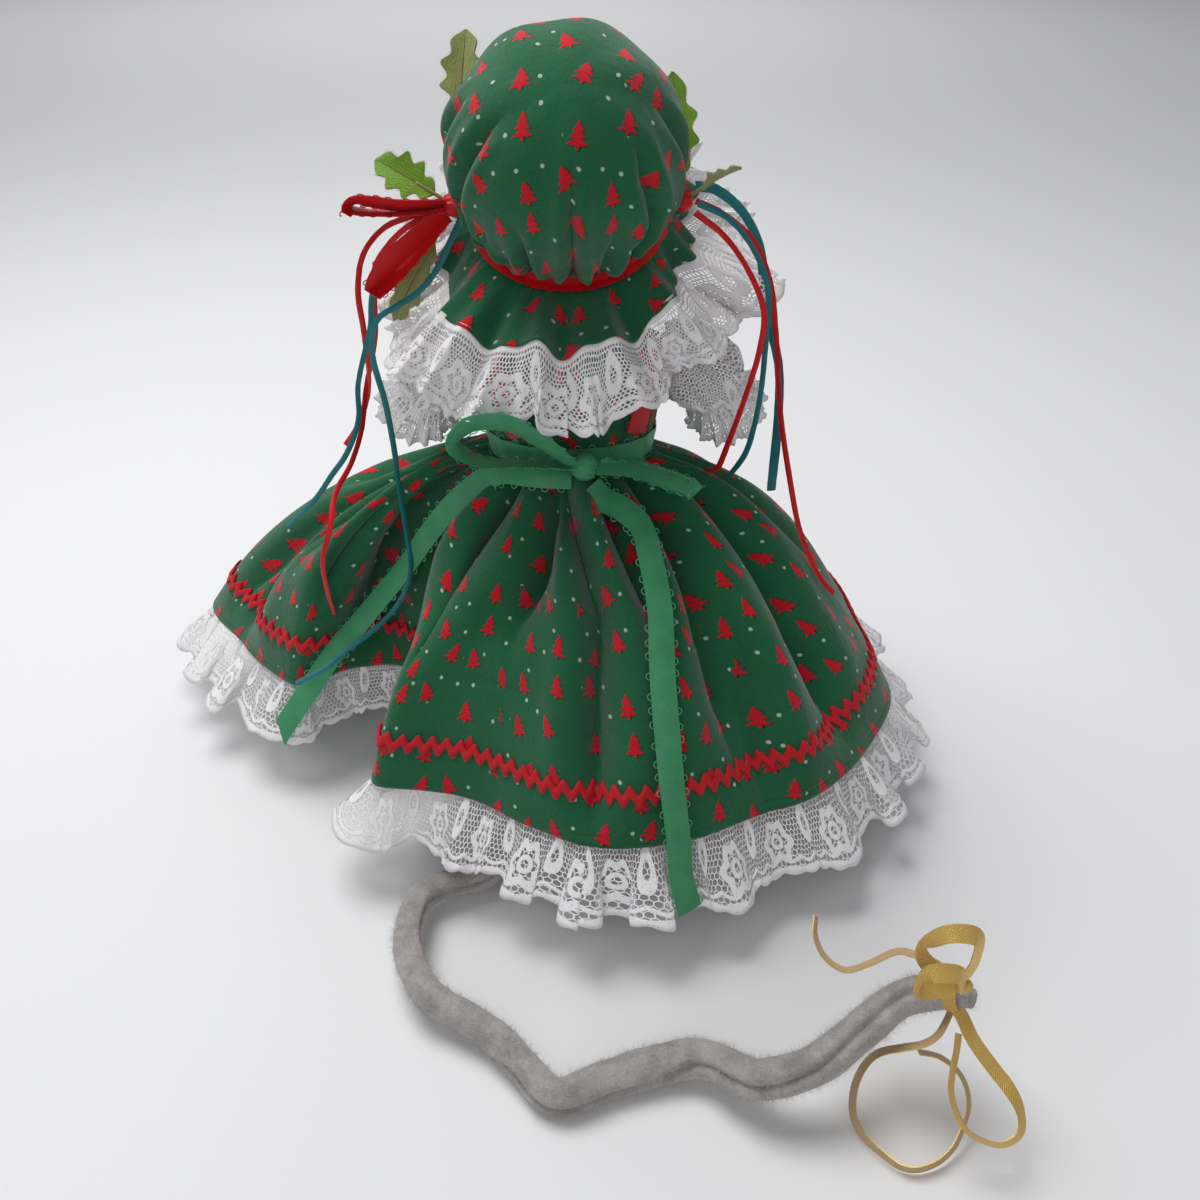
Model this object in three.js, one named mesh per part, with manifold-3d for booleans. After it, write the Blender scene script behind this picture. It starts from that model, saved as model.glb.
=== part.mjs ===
// A stuffed felt mouse doll in a printed frock, a gathered cap and lace, with a long wired tail.
// Millimetres, +Z up. The doll faces +Y and stands on its two soles at z = 0.
import * as THREE from "three";
import { mergeVertices } from "three/addons/utils/BufferGeometryUtils.js";
import Module from "manifold-3d";

const wasm = await Module();
wasm.setup();

// Clearances, and the thickness and width of what is cut from a roll
const gap = 0.3;
const cutOverrun = 3;
const clothThickness = 1.2;
const laceThickness = 0.8;
const ribbonThickness = 0.6;
const ribbonWidth = 9.5;
const streamerWidth = 3.2;
const wideStreamerWidth = 5;
const goldWidth = 4.5;
const wireRadius = 0.9;
const wireGap = 0.35;

// Legs, feet and soles
const soleThickness = 2;
const footHeight = 13;
const footLength = 54;
const footWidth = 23;
const footForward = 10;
const hipHeight = 88;
const hipSpacing = 38;
const thighRadius = 10.5;

// Body, measured up from the hips
const waistAboveHip = 62;
const shoulderAboveWaist = 38;
const neckAboveShoulder = 29;
const bodyHalfWidth = 33;
const bodyHalfDepth = 23;

// Head and face
const headAboveNeck = 29;
const headForward = 2;
const headRadius = 33;
const neckPostDepth = 18;
const eyeRadius = 3;
const noseRadius = 4.2;

// Cap: a band round the head, a puffed crown behind it, a ruffle and lace in front of it
const capTilt = 40;
const capBehindHead = 6.8;
const capEase = 1.6;
const capRadius = headRadius + capEase;
const capBandWidth = 5;
const crownPuff = 3.9;
const crownRadius = capRadius + crownPuff;
const crownAboveBand = 14.3;
const crownLift = 3;
const pleatDepth = 1.1;
const brimLength = 27;
const brimWave = 2;
const brimLaceWidth = 25;
const brimLaceWave = 2.6;
const earReach = 9.5;
const earThickness = 2.6;

// Arms and sleeves
const armReach = 28;
const armDrop = 46;
const armForward = 50;
const armRadius = 8.6;
const shoulderPin = 7;
const sleeveLength = 42;
const sleevePuff = 4.5;
const sleeveFlare = 6.5;
const sleeveStart = 3.2;

// Frock
const bodiceEase = 0.9;
const armholeEase = 1;
const skirtDrop = 105;
const hemRadius = 130;
const foldDepth = 2.1;
const hemLaceDrop = 28;
const hemLaceFlare = 17;
const hemLaceWave = 3.2;
const rickrackWidth = 6.4;
const rickrackAboveHem = 13;
const sashWidth = 9;
const sashAboveWaist = 1.2;
const sashLoopReach = 44;
const sashKnotRadius = 5.5;
const strapLift = 3;

// Tail, and the gold bow near its tip
const tailRadius = 6.4;
const tailRootAboveHip = 30;
const tailReach = 192;
const goldKnotRadius = 3.6;
const goldLoopReach = 30;

// Holly leaves and the red bow at the cap's sides
const sprigKnotRadius = 4;
const leafLength = 34;
const leafWidth = 16;
const leafThickness = 0.8;
const stemRadius = 0.8;
const redLoopReach = 34;

// Heights that follow from the sizes above
const bodyBottom = hipHeight + thighRadius + gap;
const waistHeight = hipHeight + waistAboveHip;
const shoulderHeight = waistHeight + shoulderAboveWaist;
const neckTop = shoulderHeight + neckAboveShoulder;
const hemHeight = waistHeight - skirtDrop;

// How finely the round and the folded pieces are cut
const bodySides = 20;
const limbSides = 10;
const wireSides = 6;
const skirtFolds = 15;
const skirtColumns = 4 * skirtFolds;
const skirtRows = 6;
const hemLaceColumns = 2 * skirtColumns;
const hemLaceWaves = 30;
const capPleats = 16;
const brimWaves = 12;
const brimColumns = 4 * brimWaves;
const brimLaceColumns = 2 * brimColumns;
const brimLaceWaves = 24;

const root = new THREE.Group();

function cloth(color, roughness = 0.9) {
  return new THREE.MeshStandardMaterial({ color, roughness, metalness: 0 });
}

const felt = cloth(0x8d8882, 0.95);
const pinkFelt = cloth(0xd79a92, 0.95);
const bead = cloth(0x101010, 0.25);
const print = cloth(0x1f5f3f, 0.85);
const lace = cloth(0xe6e2e2, 0.8);
const redRibbon = cloth(0xd0141c, 0.5);
const greenRibbon = cloth(0x3a8c60, 0.45);
const tealRibbon = cloth(0x156f70, 0.45);
const leafGreen = cloth(0x5f8f22, 0.7);
const board = cloth(0x77706a, 0.95);
const goldRibbon = new THREE.MeshStandardMaterial({ color: 0xc49a48, roughness: 0.35, metalness: 0.8 });
const steel = new THREE.MeshStandardMaterial({ color: 0x9a9a98, roughness: 0.4, metalness: 0.9 });

const vec = (x, y, z) => new THREE.Vector3(x, y, z);
const radians = THREE.MathUtils.degToRad;

function add(name, geometry, material) {
  const mesh = new THREE.Mesh(geometry, material);
  mesh.name = name;
  root.add(mesh);
}

// Pieces that hang or lie loose. They don't count in the doll's middle.
const looseNames = new Set();

function addLoose(name, geometry, material) {
  looseNames.add(name);
  add(name, geometry, material);
}

// A closed surface, turned so that its faces point outwards.
function facedOut(points, faces) {
  let volume = 0;
  for (const [a, b, c] of faces) volume += points[a].dot(points[b].clone().cross(points[c]));
  const flat = [];
  for (const [a, b, c] of faces) {
    const order = volume < 0 ? [a, c, b] : [a, b, c];
    for (const i of order) flat.push(points[i].x, points[i].y, points[i].z);
  }
  const geometry = new THREE.BufferGeometry();
  geometry.setAttribute("position", new THREE.Float32BufferAttribute(flat, 3));
  return geometry;
}

// Joins rings of points into one closed body, with both ends filled.
function ringsSolid(rings) {
  const sides = rings[0].length;
  const points = rings.flat();
  const faces = [];
  for (let i = 0; i + 1 < rings.length; i++) {
    for (let j = 0; j < sides; j++) {
      const k = (j + 1) % sides;
      faces.push([i * sides + j, i * sides + k, (i + 1) * sides + k]);
      faces.push([i * sides + j, (i + 1) * sides + k, (i + 1) * sides + j]);
    }
  }
  for (const [start, turned] of [[0, true], [(rings.length - 1) * sides, false]]) {
    const centre = vec(0, 0, 0);
    for (let j = 0; j < sides; j++) centre.add(points[start + j]);
    const hub = points.push(centre.divideScalar(sides)) - 1;
    for (let j = 0; j < sides; j++) {
      const k = (j + 1) % sides;
      faces.push(turned ? [start + k, start + j, hub] : [start + j, start + k, hub]);
    }
  }
  return facedOut(points, faces);
}

// The way a grid's face looks at each of its points.
function gridNormals(grid, wrap) {
  const rows = grid.length;
  const columns = grid[0].length;
  return grid.map((row, i) => row.map((_, j) => {
    const down = grid[Math.min(i + 1, rows - 1)][j].clone().sub(grid[Math.max(i - 1, 0)][j]);
    const next = wrap ? (j + 1) % columns : Math.min(j + 1, columns - 1);
    const last = wrap ? (j + columns - 1) % columns : Math.max(j - 1, 0);
    return grid[i][next].clone().sub(grid[i][last]).cross(down).normalize();
  }));
}

// A thin closed body that lies half its thickness each side of a grid of points.
function sheetSolid(grid, thickness, wrap = false) {
  const rows = grid.length;
  const columns = grid[0].length;
  const normals = gridNormals(grid, wrap);
  const points = [];
  for (const side of [1, -1]) {
    for (let i = 0; i < rows; i++) {
      for (let j = 0; j < columns; j++) {
        points.push(grid[i][j].clone().addScaledVector(normals[i][j], (side * thickness) / 2));
      }
    }
  }
  const back = rows * columns;
  const at = (i, j) => i * columns + (j % columns);
  const faces = [];
  const lastColumn = wrap ? columns : columns - 1;
  for (let i = 0; i + 1 < rows; i++) {
    for (let j = 0; j < lastColumn; j++) {
      const [a, b, c, d] = [at(i, j), at(i, j + 1), at(i + 1, j + 1), at(i + 1, j)];
      faces.push([a, b, c], [a, c, d], [back + a, back + c, back + b], [back + a, back + d, back + c]);
    }
  }
  const rim = (a, b) => faces.push([b, a, back + a], [b, back + a, back + b]);
  for (let j = 0; j < lastColumn; j++) {
    rim(at(0, j), at(0, j + 1));
    rim(at(rows - 1, j + 1), at(rows - 1, j));
  }
  if (!wrap) {
    for (let i = 0; i + 1 < rows; i++) {
      rim(at(i + 1, 0), at(i, 0));
      rim(at(i, columns - 1), at(i + 1, columns - 1));
    }
  }
  return facedOut(points, faces);
}

const smoothCurve = (points) => new THREE.CatmullRomCurve3(points, false, "centripetal");

// Places along a curve, each with two directions across it that turn as little as they can.
function placesAlong(curve, steps, from = 0, to = 1) {
  const places = [];
  let one = null;
  for (let i = 0; i <= steps; i++) {
    const share = from + ((to - from) * i) / steps;
    const along = curve.getTangentAt(share);
    one = one ?? (Math.abs(along.x) > Math.abs(along.z) ? vec(0, 0, 1) : vec(1, 0, 0));
    one = one.clone().addScaledVector(along, -one.dot(along)).normalize();
    places.push({ share, point: curve.getPointAt(share), along, one, two: along.clone().cross(one) });
  }
  return places;
}

function ringAt(place, radius, sides) {
  const ring = [];
  for (let j = 0; j < sides; j++) {
    const angle = (2 * Math.PI * (j + 0.5)) / sides;
    ring.push(place.point.clone()
      .addScaledVector(place.one, radius * Math.cos(angle))
      .addScaledVector(place.two, radius * Math.sin(angle)));
  }
  return ring;
}

// A round limb through places along a curve, with its radius at each share of the length.
function limb(places, sides, radiusAt) {
  return ringsSolid(places.map((place) => ringAt(place, radiusAt(place.share), sides)));
}

// A wire through the same places, and the bore round it, which reaches past both its ends.
function wireAndBore(places, boreStart, boreEnd) {
  const wire = limb(places, wireSides, () => wireRadius);
  const first = places[0];
  const last = places[places.length - 1];
  const longer = [
    { ...first, point: first.point.clone().addScaledVector(first.along, -boreStart) },
    ...places,
    { ...last, point: last.point.clone().addScaledVector(last.along, boreEnd) },
  ];
  return [wire, limb(longer, wireSides, () => wireRadius + wireGap)];
}

// A value read from a table of [place, value], with straight lines between its entries.
function fromTable(table, place) {
  for (let i = 1; i < table.length; i++) {
    if (place <= table[i][0]) {
      const [from, low] = table[i - 1];
      const [to, high] = table[i];
      return low + ((high - low) * (place - from)) / (to - from);
    }
  }
  return table[table.length - 1][1];
}

// A flat ribbon along a curve, its face turned to one side.
function ribbon(curve, steps, width, face) {
  const grid = placesAlong(curve, steps).map((place) => {
    const across = place.along.clone().cross(face).normalize();
    return [-0.5, 0.5].map((share) => place.point.clone().addScaledVector(across, share * width));
  });
  return sheetSolid(grid, ribbonThickness);
}

function toSolid(geometry) {
  const bare = geometry.clone();
  for (const name of ["normal", "uv"]) bare.deleteAttribute(name);
  const merged = mergeVertices(bare, 1e-4);
  return new wasm.Manifold(new wasm.Mesh({
    numProp: 3,
    vertProperties: merged.attributes.position.array,
    triVerts: new Uint32Array(merged.index.array),
  }));
}

function toGeometry(solid) {
  const mesh = solid.getMesh();
  const geometry = new THREE.BufferGeometry();
  geometry.setAttribute("position", new THREE.BufferAttribute(new Float32Array(mesh.vertProperties), 3));
  geometry.setIndex(new THREE.BufferAttribute(new Uint32Array(mesh.triVerts), 1));
  return geometry.toNonIndexed();
}

function joined(...geometries) {
  return toGeometry(geometries.map(toSolid).reduce((a, b) => a.add(b)));
}

function cut(geometry, ...tools) {
  return toGeometry(tools.map(toSolid).reduce((a, b) => a.subtract(b), toSolid(geometry)));
}

// A straight round bar from one point to another.
function bar(from, to, radius, sides = wireSides) {
  const length = from.distanceTo(to);
  const geometry = new THREE.CylinderGeometry(radius, radius, length, sides);
  geometry.translate(0, length / 2, 0);
  const turn = new THREE.Quaternion().setFromUnitVectors(vec(0, 1, 0), to.clone().sub(from).normalize());
  geometry.applyQuaternion(turn);
  return geometry.translate(from.x, from.y, from.z);
}

function ball(centre, radius, sides = limbSides) {
  const geometry = new THREE.SphereGeometry(radius, sides, Math.round(sides / 2));
  return geometry.translate(centre.x, centre.y, centre.z);
}

// All that lies between two heights, as a block for cutting.
function slab(low, high) {
  const size = 4 * hemRadius;
  return new THREE.BoxGeometry(size, size, high - low).translate(0, 0, (low + high) / 2);
}

// Body: levels 0 to 1 climb from its bottom to the waist, 1 to 2 to the shoulders, 2 to 3 to the neck.
const bodyShares = [
  [0, 0.6, 0.56],
  [0.08, 0.84, 0.82],
  [0.3, 1, 1],
  [0.6, 0.97, 0.98],
  [1, 0.82, 0.84],
  [1.45, 0.9, 0.88],
  [2, 0.97, 0.84],
  [2.22, 0.84, 0.74],
  [2.45, 0.52, 0.58],
  [2.65, 0.36, 0.48],
  [3, 0.34, 0.46],
];
const bodyLevels = [bodyBottom, waistHeight, shoulderHeight, neckTop];

function bodyHeight(level) {
  const span = Math.min(Math.floor(level), 2);
  return bodyLevels[span] + (bodyLevels[span + 1] - bodyLevels[span]) * (level - span);
}

function bodyHalf(level) {
  return [
    bodyHalfWidth * fromTable(bodyShares.map(([at, share]) => [at, share]), level),
    bodyHalfDepth * fromTable(bodyShares.map(([at, , share]) => [at, share]), level),
  ];
}

// A point this far outside the body. Turn 0 is at the back, and a quarter turn is at +X.
function bodyPoint(level, turn, outside) {
  const [halfWidth, halfDepth] = bodyHalf(level);
  const angle = 2 * Math.PI * turn;
  return vec(
    (halfWidth + outside) * Math.sin(angle), -(halfDepth + outside) * Math.cos(angle), bodyHeight(level));
}

function bodyRing(level, outside, sides = bodySides) {
  return Array.from({ length: sides }, (_, j) => bodyPoint(level, j / sides, outside));
}

// A wire frame stands in the stuffing: a spine that goes up into the head, and three cross pieces.
const hipX = hipSpacing / 2;
const shoulderX = bodyHalf(2)[0] + gap;
const tailLevel = (hipHeight + tailRootAboveHip - bodyBottom) / (waistHeight - bodyBottom);
const tailRoot = vec(0, -(bodyHalf(tailLevel)[1] + gap), hipHeight + tailRootAboveHip);

function frameBars(extra) {
  const radius = wireRadius + extra;
  const shoulderEnd = shoulderX + shoulderPin;
  const tailStubEnd = tailRoot.y + gap - (extra > 0 ? cutOverrun : 0);
  return [
    bar(vec(0, 0, hipHeight), vec(0, 0, neckTop + neckPostDepth + extra), radius),
    bar(vec(-hipX - extra, 0, hipHeight), vec(hipX + extra, 0, hipHeight), radius),
    bar(vec(-shoulderEnd, 0, shoulderHeight), vec(shoulderEnd, 0, shoulderHeight), radius),
    bar(vec(0, tailStubEnd, tailRoot.z), vec(0, 0, tailRoot.z), radius),
  ];
}

function makeBody() {
  const rings = bodyShares.map(([level]) => bodyRing(level, 0));
  const keelWidth = hipSpacing - 2 * (thighRadius + gap);
  const keelRadius = bodyHalfDepth / 2;
  const keel = new THREE.Shape();
  keel.moveTo(-keelRadius, bodyBottom + cutOverrun);
  keel.lineTo(-keelRadius, hipHeight);
  keel.absarc(0, hipHeight, keelRadius, Math.PI, 2 * Math.PI, false);
  keel.lineTo(keelRadius, bodyBottom + cutOverrun);
  const keelSolid = new THREE.ExtrudeGeometry(
    keel, { depth: keelWidth, bevelEnabled: false, curveSegments: 5 });
  keelSolid.applyMatrix4(new THREE.Matrix4().makeBasis(vec(0, 1, 0), vec(0, 0, 1), vec(1, 0, 0)));
  keelSolid.translate(-keelWidth / 2, 0, 0);
  add("body", cut(joined(ringsSolid(rings), keelSolid), ...frameBars(wireGap)), felt);
  add("body_frame", joined(...frameBars(0)), steel);
}

// Legs: a stuffed tube with a round top at the hip, and a foot with a flat stiff sole.
const legRadiusShares = [[0, 1], [0.35, 0.95], [0.7, 0.78], [1, 0.72]];

function makeLeg(side, name) {
  const x = side * hipX;
  const footBottom = soleThickness + gap;
  const ankle = footBottom + footHeight / 2;
  const path = new THREE.LineCurve3(vec(x, 0, hipHeight), vec(x, 0, ankle));
  const radiusAt = (share) => thighRadius * fromTable(legRadiusShares, share);
  const tube = limb(placesAlong(path, 5), limbSides, radiusAt);
  const foot = new THREE.SphereGeometry(1, 14, 6);
  foot.scale(footWidth / 2, footLength / 2, footHeight);
  foot.translate(x, footForward, footBottom);
  const whole = joined(tube, ball(vec(x, 0, hipHeight), thighRadius), foot);
  const wireTop = hipHeight - 2 * wireRadius - wireGap;
  const hipBore = bar(
    vec(x - side * (thighRadius + cutOverrun), 0, hipHeight), vec(x + side * wireGap, 0, hipHeight),
    wireRadius + wireGap);
  const legBore = bar(vec(x, 0, ankle - wireGap), vec(x, 0, hipHeight), wireRadius + wireGap);
  add(`${name}_leg`, cut(whole, slab(-footHeight - cutOverrun, footBottom), hipBore, legBore), felt);
  add(`${name}_leg_wire`, bar(vec(x, 0, ankle), vec(x, 0, wireTop), wireRadius), steel);
  const outline = new THREE.Shape();
  outline.absellipse(x, footForward, footWidth / 2, footLength / 2, 0, 2 * Math.PI);
  const sole = new THREE.ExtrudeGeometry(
    outline, { depth: soleThickness, bevelEnabled: false, curveSegments: 10 });
  add(`${name}_sole`, sole, board);
}

// Arms: out of the shoulder along X, down to the elbow and forward to the paw.
const armShares = [
  [0, 0, 0], [0.25, 0, 0], [0.58, 0.02, 0.16], [0.86, 0.1, 0.42],
  [0.96, 0.3, 0.6], [0.72, 0.58, 0.64], [0.36, 0.84, 0.62], [0.12, 1, 0.6],
];
const armRadiusShares = [[0, 1], [0.45, 0.95], [0.8, 0.8], [0.88, 0.95], [0.95, 0.85], [1, 0.4]];
const sleevePuffShares = [[0, 0.1], [0.12, 0.55], [0.45, 1], [0.62, 0.6], [0.7, 0], [1, 0]];
const sleeveRowShares = [0, 0.15, 0.45, 0.7, 0.84, 1];
const sleeveGatherShare = 0.7;
const sleevePleatShares = [1.2, 0.8];
const wiredArmShare = 0.8;
const wristShare = 0.9;
const thumbRadiusShare = 0.45;
const thumbLengthShare = 1.6;

function makeArm(side, name) {
  const curve = smoothCurve(armShares.map(([x, y, z]) => vec(
    side * (shoulderX + armReach * x), armForward * y, shoulderHeight - armDrop * z)));
  const length = curve.getLength();
  const radiusAt = (share) => armRadius * fromTable(armRadiusShares, share);
  const arm = limb(placesAlong(curve, 12), limbSides, radiusAt);
  const thumb = ball(vec(0, 0, 0), armRadius * thumbRadiusShare).scale(1, 1, thumbLengthShare);
  const wrist = placesAlong(curve, 1, wristShare, 1)[0];
  thumb.translate(wrist.point.x, wrist.point.y, wrist.point.z + radiusAt(wristShare));
  const wired = placesAlong(curve, 10, (shoulderPin + 2 * wireGap) / length, wiredArmShare);
  const [wire, bore] = wireAndBore(wired, wireGap, wireGap);
  const pinBore = bar(
    vec(side * (shoulderX - cutOverrun), 0, shoulderHeight),
    vec(side * (shoulderX + shoulderPin + wireGap), 0, shoulderHeight), wireRadius + wireGap);
  add(`${name}_arm`, cut(joined(arm, thumb), pinBore, bore), felt);
  add(`${name}_arm_wire`, wire, steel);
  makeSleeve(curve, length, radiusAt, name);
}

// Sleeve: lace that puffs over the upper arm, is drawn in above the elbow and flares to its edge.
function makeSleeve(curve, length, radiusAt, name) {
  const columns = 2 * limbSides - 2;
  const closest = 2 * gap + laceThickness / 2;
  const grid = sleeveRowShares.map((row) => {
    const share = (sleeveStart + (sleeveLength - sleeveStart) * row) / length;
    const place = placesAlong(curve, 60, 0, share)[60];
    const flare = (sleeveFlare * Math.max(0, row - sleeveGatherShare)) / (1 - sleeveGatherShare);
    const loose = sleevePuff * fromTable(sleevePuffShares, row) + flare;
    const ring = [];
    for (let j = 0; j < columns; j++) {
      const angle = (2 * Math.PI * (j + 1)) / columns;
      const radius = radiusAt(share) + closest + loose * sleevePleatShares[j % 2];
      ring.push(place.point.clone()
        .addScaledVector(place.one, radius * Math.cos(angle))
        .addScaledVector(place.two, radius * Math.sin(angle)));
    }
    return ring;
  });
  add(`${name}_sleeve`, sheetSolid(grid, laceThickness, true), lace);
}

// Bodice: a shell round the body from the waist over the shoulders, with two armholes.
const bodiceLevels = [1, 1.45, 2, 2.22, 2.45];
const bodiceOutside = gap + bodiceEase + clothThickness;

function makeBodice() {
  const grid = bodiceLevels.map((level) => bodyRing(level, bodiceOutside - clothThickness / 2));
  const armholes = bar(
    vec(-2 * bodyHalfWidth, 0, shoulderHeight), vec(2 * bodyHalfWidth, 0, shoulderHeight),
    armRadius + armholeEase, bodySides);
  add("bodice", cut(sheetSolid(grid, clothThickness, true), armholes), print);
}

// Straps: a ribbon up the back of the bodice, over the shoulder and down the front.
// Each entry is a share of the strap's length, its turn round the body and its level.
const strapShares = {
  left: [[0, 0.09, 1.36], [0.22, 0.12, 1.8], [0.34, 0.155, 2.15], [0.5, 0.25, 2.42],
    [0.66, 0.345, 2.15], [0.78, 0.38, 1.8], [1, 0.41, 1.36]],
  right: [[0, 0.13, 1.36], [0.22, 0.15, 1.8], [0.34, 0.165, 2.15], [0.5, 0.25, 2.42],
    [0.66, 0.345, 2.15], [0.78, 0.38, 1.8], [1, 0.41, 1.36]],
};

function makeStrap(side, name) {
  const steps = 18;
  const turns = strapShares[name].map(([share, turn]) => [share, turn]);
  const levels = strapShares[name].map(([share, , level]) => [share, level]);
  const grid = [];
  for (let i = 0; i <= steps; i++) {
    const level = fromTable(levels, i / steps);
    const turn = fromTable(turns, i / steps);
    const outside = bodiceOutside + 2 * gap + ribbonThickness + strapLift * Math.max(0, level - 2);
    const half = ribbonWidth / 2 / (2 * Math.PI * (bodyHalf(level)[0] + outside));
    grid.push([-1, 0, 1].map((share) => {
      const point = bodyPoint(level, turn + share * half, outside);
      return vec(side * point.x, point.y, point.z);
    }));
  }
  add(`strap_${name}`, sheetSolid(grid, ribbonThickness), redRibbon);
}

// Skirt: gathered at the waist. Its hem, as shares of the hem radius, starts at the back and runs
// round by +X, the front and -X to the deep fold at the left of the back.
const hemShares = [
  [0.05, -0.82], [0.36, -0.79], [0.72, -0.6], [0.93, -0.38], [1.01, -0.15],
  [0.97, 0.18], [0.92, 0.48], [0.7, 0.74], [0.38, 0.86], [0.1, 0.98],
  [-0.23, 0.93], [-0.48, 0.92], [-0.8, 0.82], [-1.08, 0.66], [-1.28, 0.4],
  [-1.15, 0.15], [-0.9, -0.11], [-0.74, 0], [-0.57, 0.03], [-0.45, -0.1],
  [-0.48, -0.34], [-0.58, -0.57], [-0.33, -0.63], [-0.11, -0.75],
];
const hemCurve = new THREE.CatmullRomCurve3(
  hemShares.map(([x, y]) => vec(hemRadius * x, hemRadius * y, hemHeight)), true, "centripetal");
hemCurve.arcLengthDivisions = 800;
const skirtTopOutside = bodiceOutside + gap + clothThickness;
// How much the skirt puffs out below the waist before it falls, round the hem.
const bellShares = [[0, 0.45], [0.2, 0.35], [0.5, 0.5], [0.66, 0.85], [0.74, 0.8], [0.84, 0.5], [1, 0.45]];

function skirtPoint(round, down) {
  const turn = ((round % 1) + 1) % 1;
  const bell = fromTable(bellShares, turn);
  const quarter = (Math.PI * down) / 2;
  const out = down + (Math.sin(quarter) - down) * bell;
  const fall = down + (1 - Math.cos(quarter) - down) * bell;
  const point = bodyPoint(1, turn, skirtTopOutside).lerp(hemCurve.getPointAt(turn), out);
  point.z = waistHeight - skirtDrop * fall;
  return point;
}

function skirtNormal(round, down) {
  const step = 1e-3;
  const low = Math.min(1, down + step);
  const across = skirtPoint(round + step, down).sub(skirtPoint(round - step, down));
  const fall = skirtPoint(round, low).sub(skirtPoint(round, low - 2 * step));
  return fall.cross(across).normalize();
}

// How deep the folds are at a share of the way down.
const foldAt = (down) => foldDepth * Math.sin(Math.PI * Math.min(down, 0.5 + down / 4));

function foldedPoint(round, down) {
  const wave = Math.cos(2 * Math.PI * skirtFolds * round);
  const normal = skirtNormal(round, Math.max(down, 0.05));
  return skirtPoint(round, down).addScaledVector(normal, foldAt(down) * wave);
}

const skirtGrid = [];
for (let i = 0; i <= skirtRows; i++) {
  const row = [];
  for (let j = 0; j < skirtColumns; j++) row.push(foldedPoint(j / skirtColumns, i / skirtRows));
  skirtGrid.push(row);
}
const skirtGridNormals = gridNormals(skirtGrid, true).map((row) => row.map((normal) => normal.negate()));

// A point on the skirt's own facets, or this far outside them.
function onSkirt(round, down, outside) {
  const column = round * skirtColumns;
  const row = Math.min(down * skirtRows, skirtRows - 1e-6);
  const [j, i] = [Math.floor(column), Math.floor(row)];
  const at = (grid, a, b) => grid[a][((b % skirtColumns) + skirtColumns) % skirtColumns];
  const mix = (grid) => at(grid, i, j).clone().lerp(at(grid, i, j + 1), column - j)
    .lerp(at(grid, i + 1, j).clone().lerp(at(grid, i + 1, j + 1), column - j), row - i);
  return mix(skirtGrid).addScaledVector(mix(skirtGridNormals), outside);
}

// Hem lace: sewn inside the hem and gathered, so that it waves below it. It spreads less in the fold.
const laceSpreadShares = [
  [0, 1], [0.15, 1], [0.2, 1.1], [0.5, 1], [0.66, 1.2], [0.72, 1.1], [0.76, 0.5], [0.79, 0.1],
  [0.83, 0], [0.87, 0.15], [0.9, 0.9], [1, 1],
];
const laceSewnShare = 0.955;
const laceWaveInFoldShare = 0.3;

function makeHemLace() {
  const inside = -(clothThickness / 2 + gap + laceThickness / 2 + gap);
  const grid = [laceSewnShare, 1].map((down) => (
    Array.from({ length: hemLaceColumns }, (_, j) => onSkirt(j / hemLaceColumns, down, inside))));
  grid.push(grid[1].map((sewn, j) => {
    const round = j / hemLaceColumns;
    const out = skirtNormal(round, 1).setZ(0).normalize();
    const spread = fromTable(laceSpreadShares, round);
    const deep = hemLaceWave * Math.min(1, spread + laceWaveInFoldShare);
    const wave = deep * Math.cos(2 * Math.PI * hemLaceWaves * round);
    const point = sewn.clone().addScaledVector(out, hemLaceFlare * spread + wave);
    point.z -= hemLaceDrop;
    return point;
  }));
  add("hem_lace", sheetSolid(grid, laceThickness, true), lace);
}

// Zigzag braid: the strip that it fills, sewn round the skirt above the hem.
function makeRickrack() {
  const outside = clothThickness / 2 + 3 * gap + ribbonThickness / 2;
  const grid = [rickrackAboveHem + rickrackWidth, rickrackAboveHem].map((above) => {
    const down = 1 - above / skirtDrop;
    return Array.from({ length: skirtColumns }, (_, j) => onSkirt(j / skirtColumns, down, outside));
  });
  add("rickrack", sheetSolid(grid, ribbonThickness, true), redRibbon);
}

function makeSkirt() {
  add("skirt", sheetSolid(skirtGrid, clothThickness, true), print);
  makeHemLace();
  makeRickrack();
}

// Sash: a ribbon round the waist, tied in a bow at the back.
const sashHeight = waistHeight + sashAboveWaist + sashWidth / 2;
const sashOutside = bodiceOutside + gap + ribbonThickness;
const sashLevel = 1 + (sashHeight - waistHeight) / shoulderAboveWaist;
const sashKnotDepthShare = 0.8;
const sashKnotBack = sashOutside + ribbonThickness / 2 + gap + sashKnotDepthShare * sashKnotRadius;
const sashKnot = vec(sashKnotRadius, -(bodyHalf(sashLevel)[1] + sashKnotBack), sashHeight);
// The bow's loops, from the knot out and back, as shares of their reach.
const sashLeftShares = [
  [-0.12, -0.04, 0.07], [-0.28, -0.14, 0.34], [-0.62, -0.2, 0.55], [-0.84, -0.2, 0.52],
  [-0.93, -0.18, 0.36], [-0.82, -0.16, 0.22], [-0.5, -0.12, 0.1], [-0.135, -0.04, 0.01],
];
const sashRightShares = [
  [0.12, -0.08, 0.05], [0.4, -0.16, 0.06], [0.72, -0.22, -0.02], [0.85, -0.23, -0.08],
  [0.86, -0.2, -0.12], [0.72, -0.15, -0.08], [0.4, -0.08, 0], [0.14, -0.03, 0.03],
];
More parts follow.
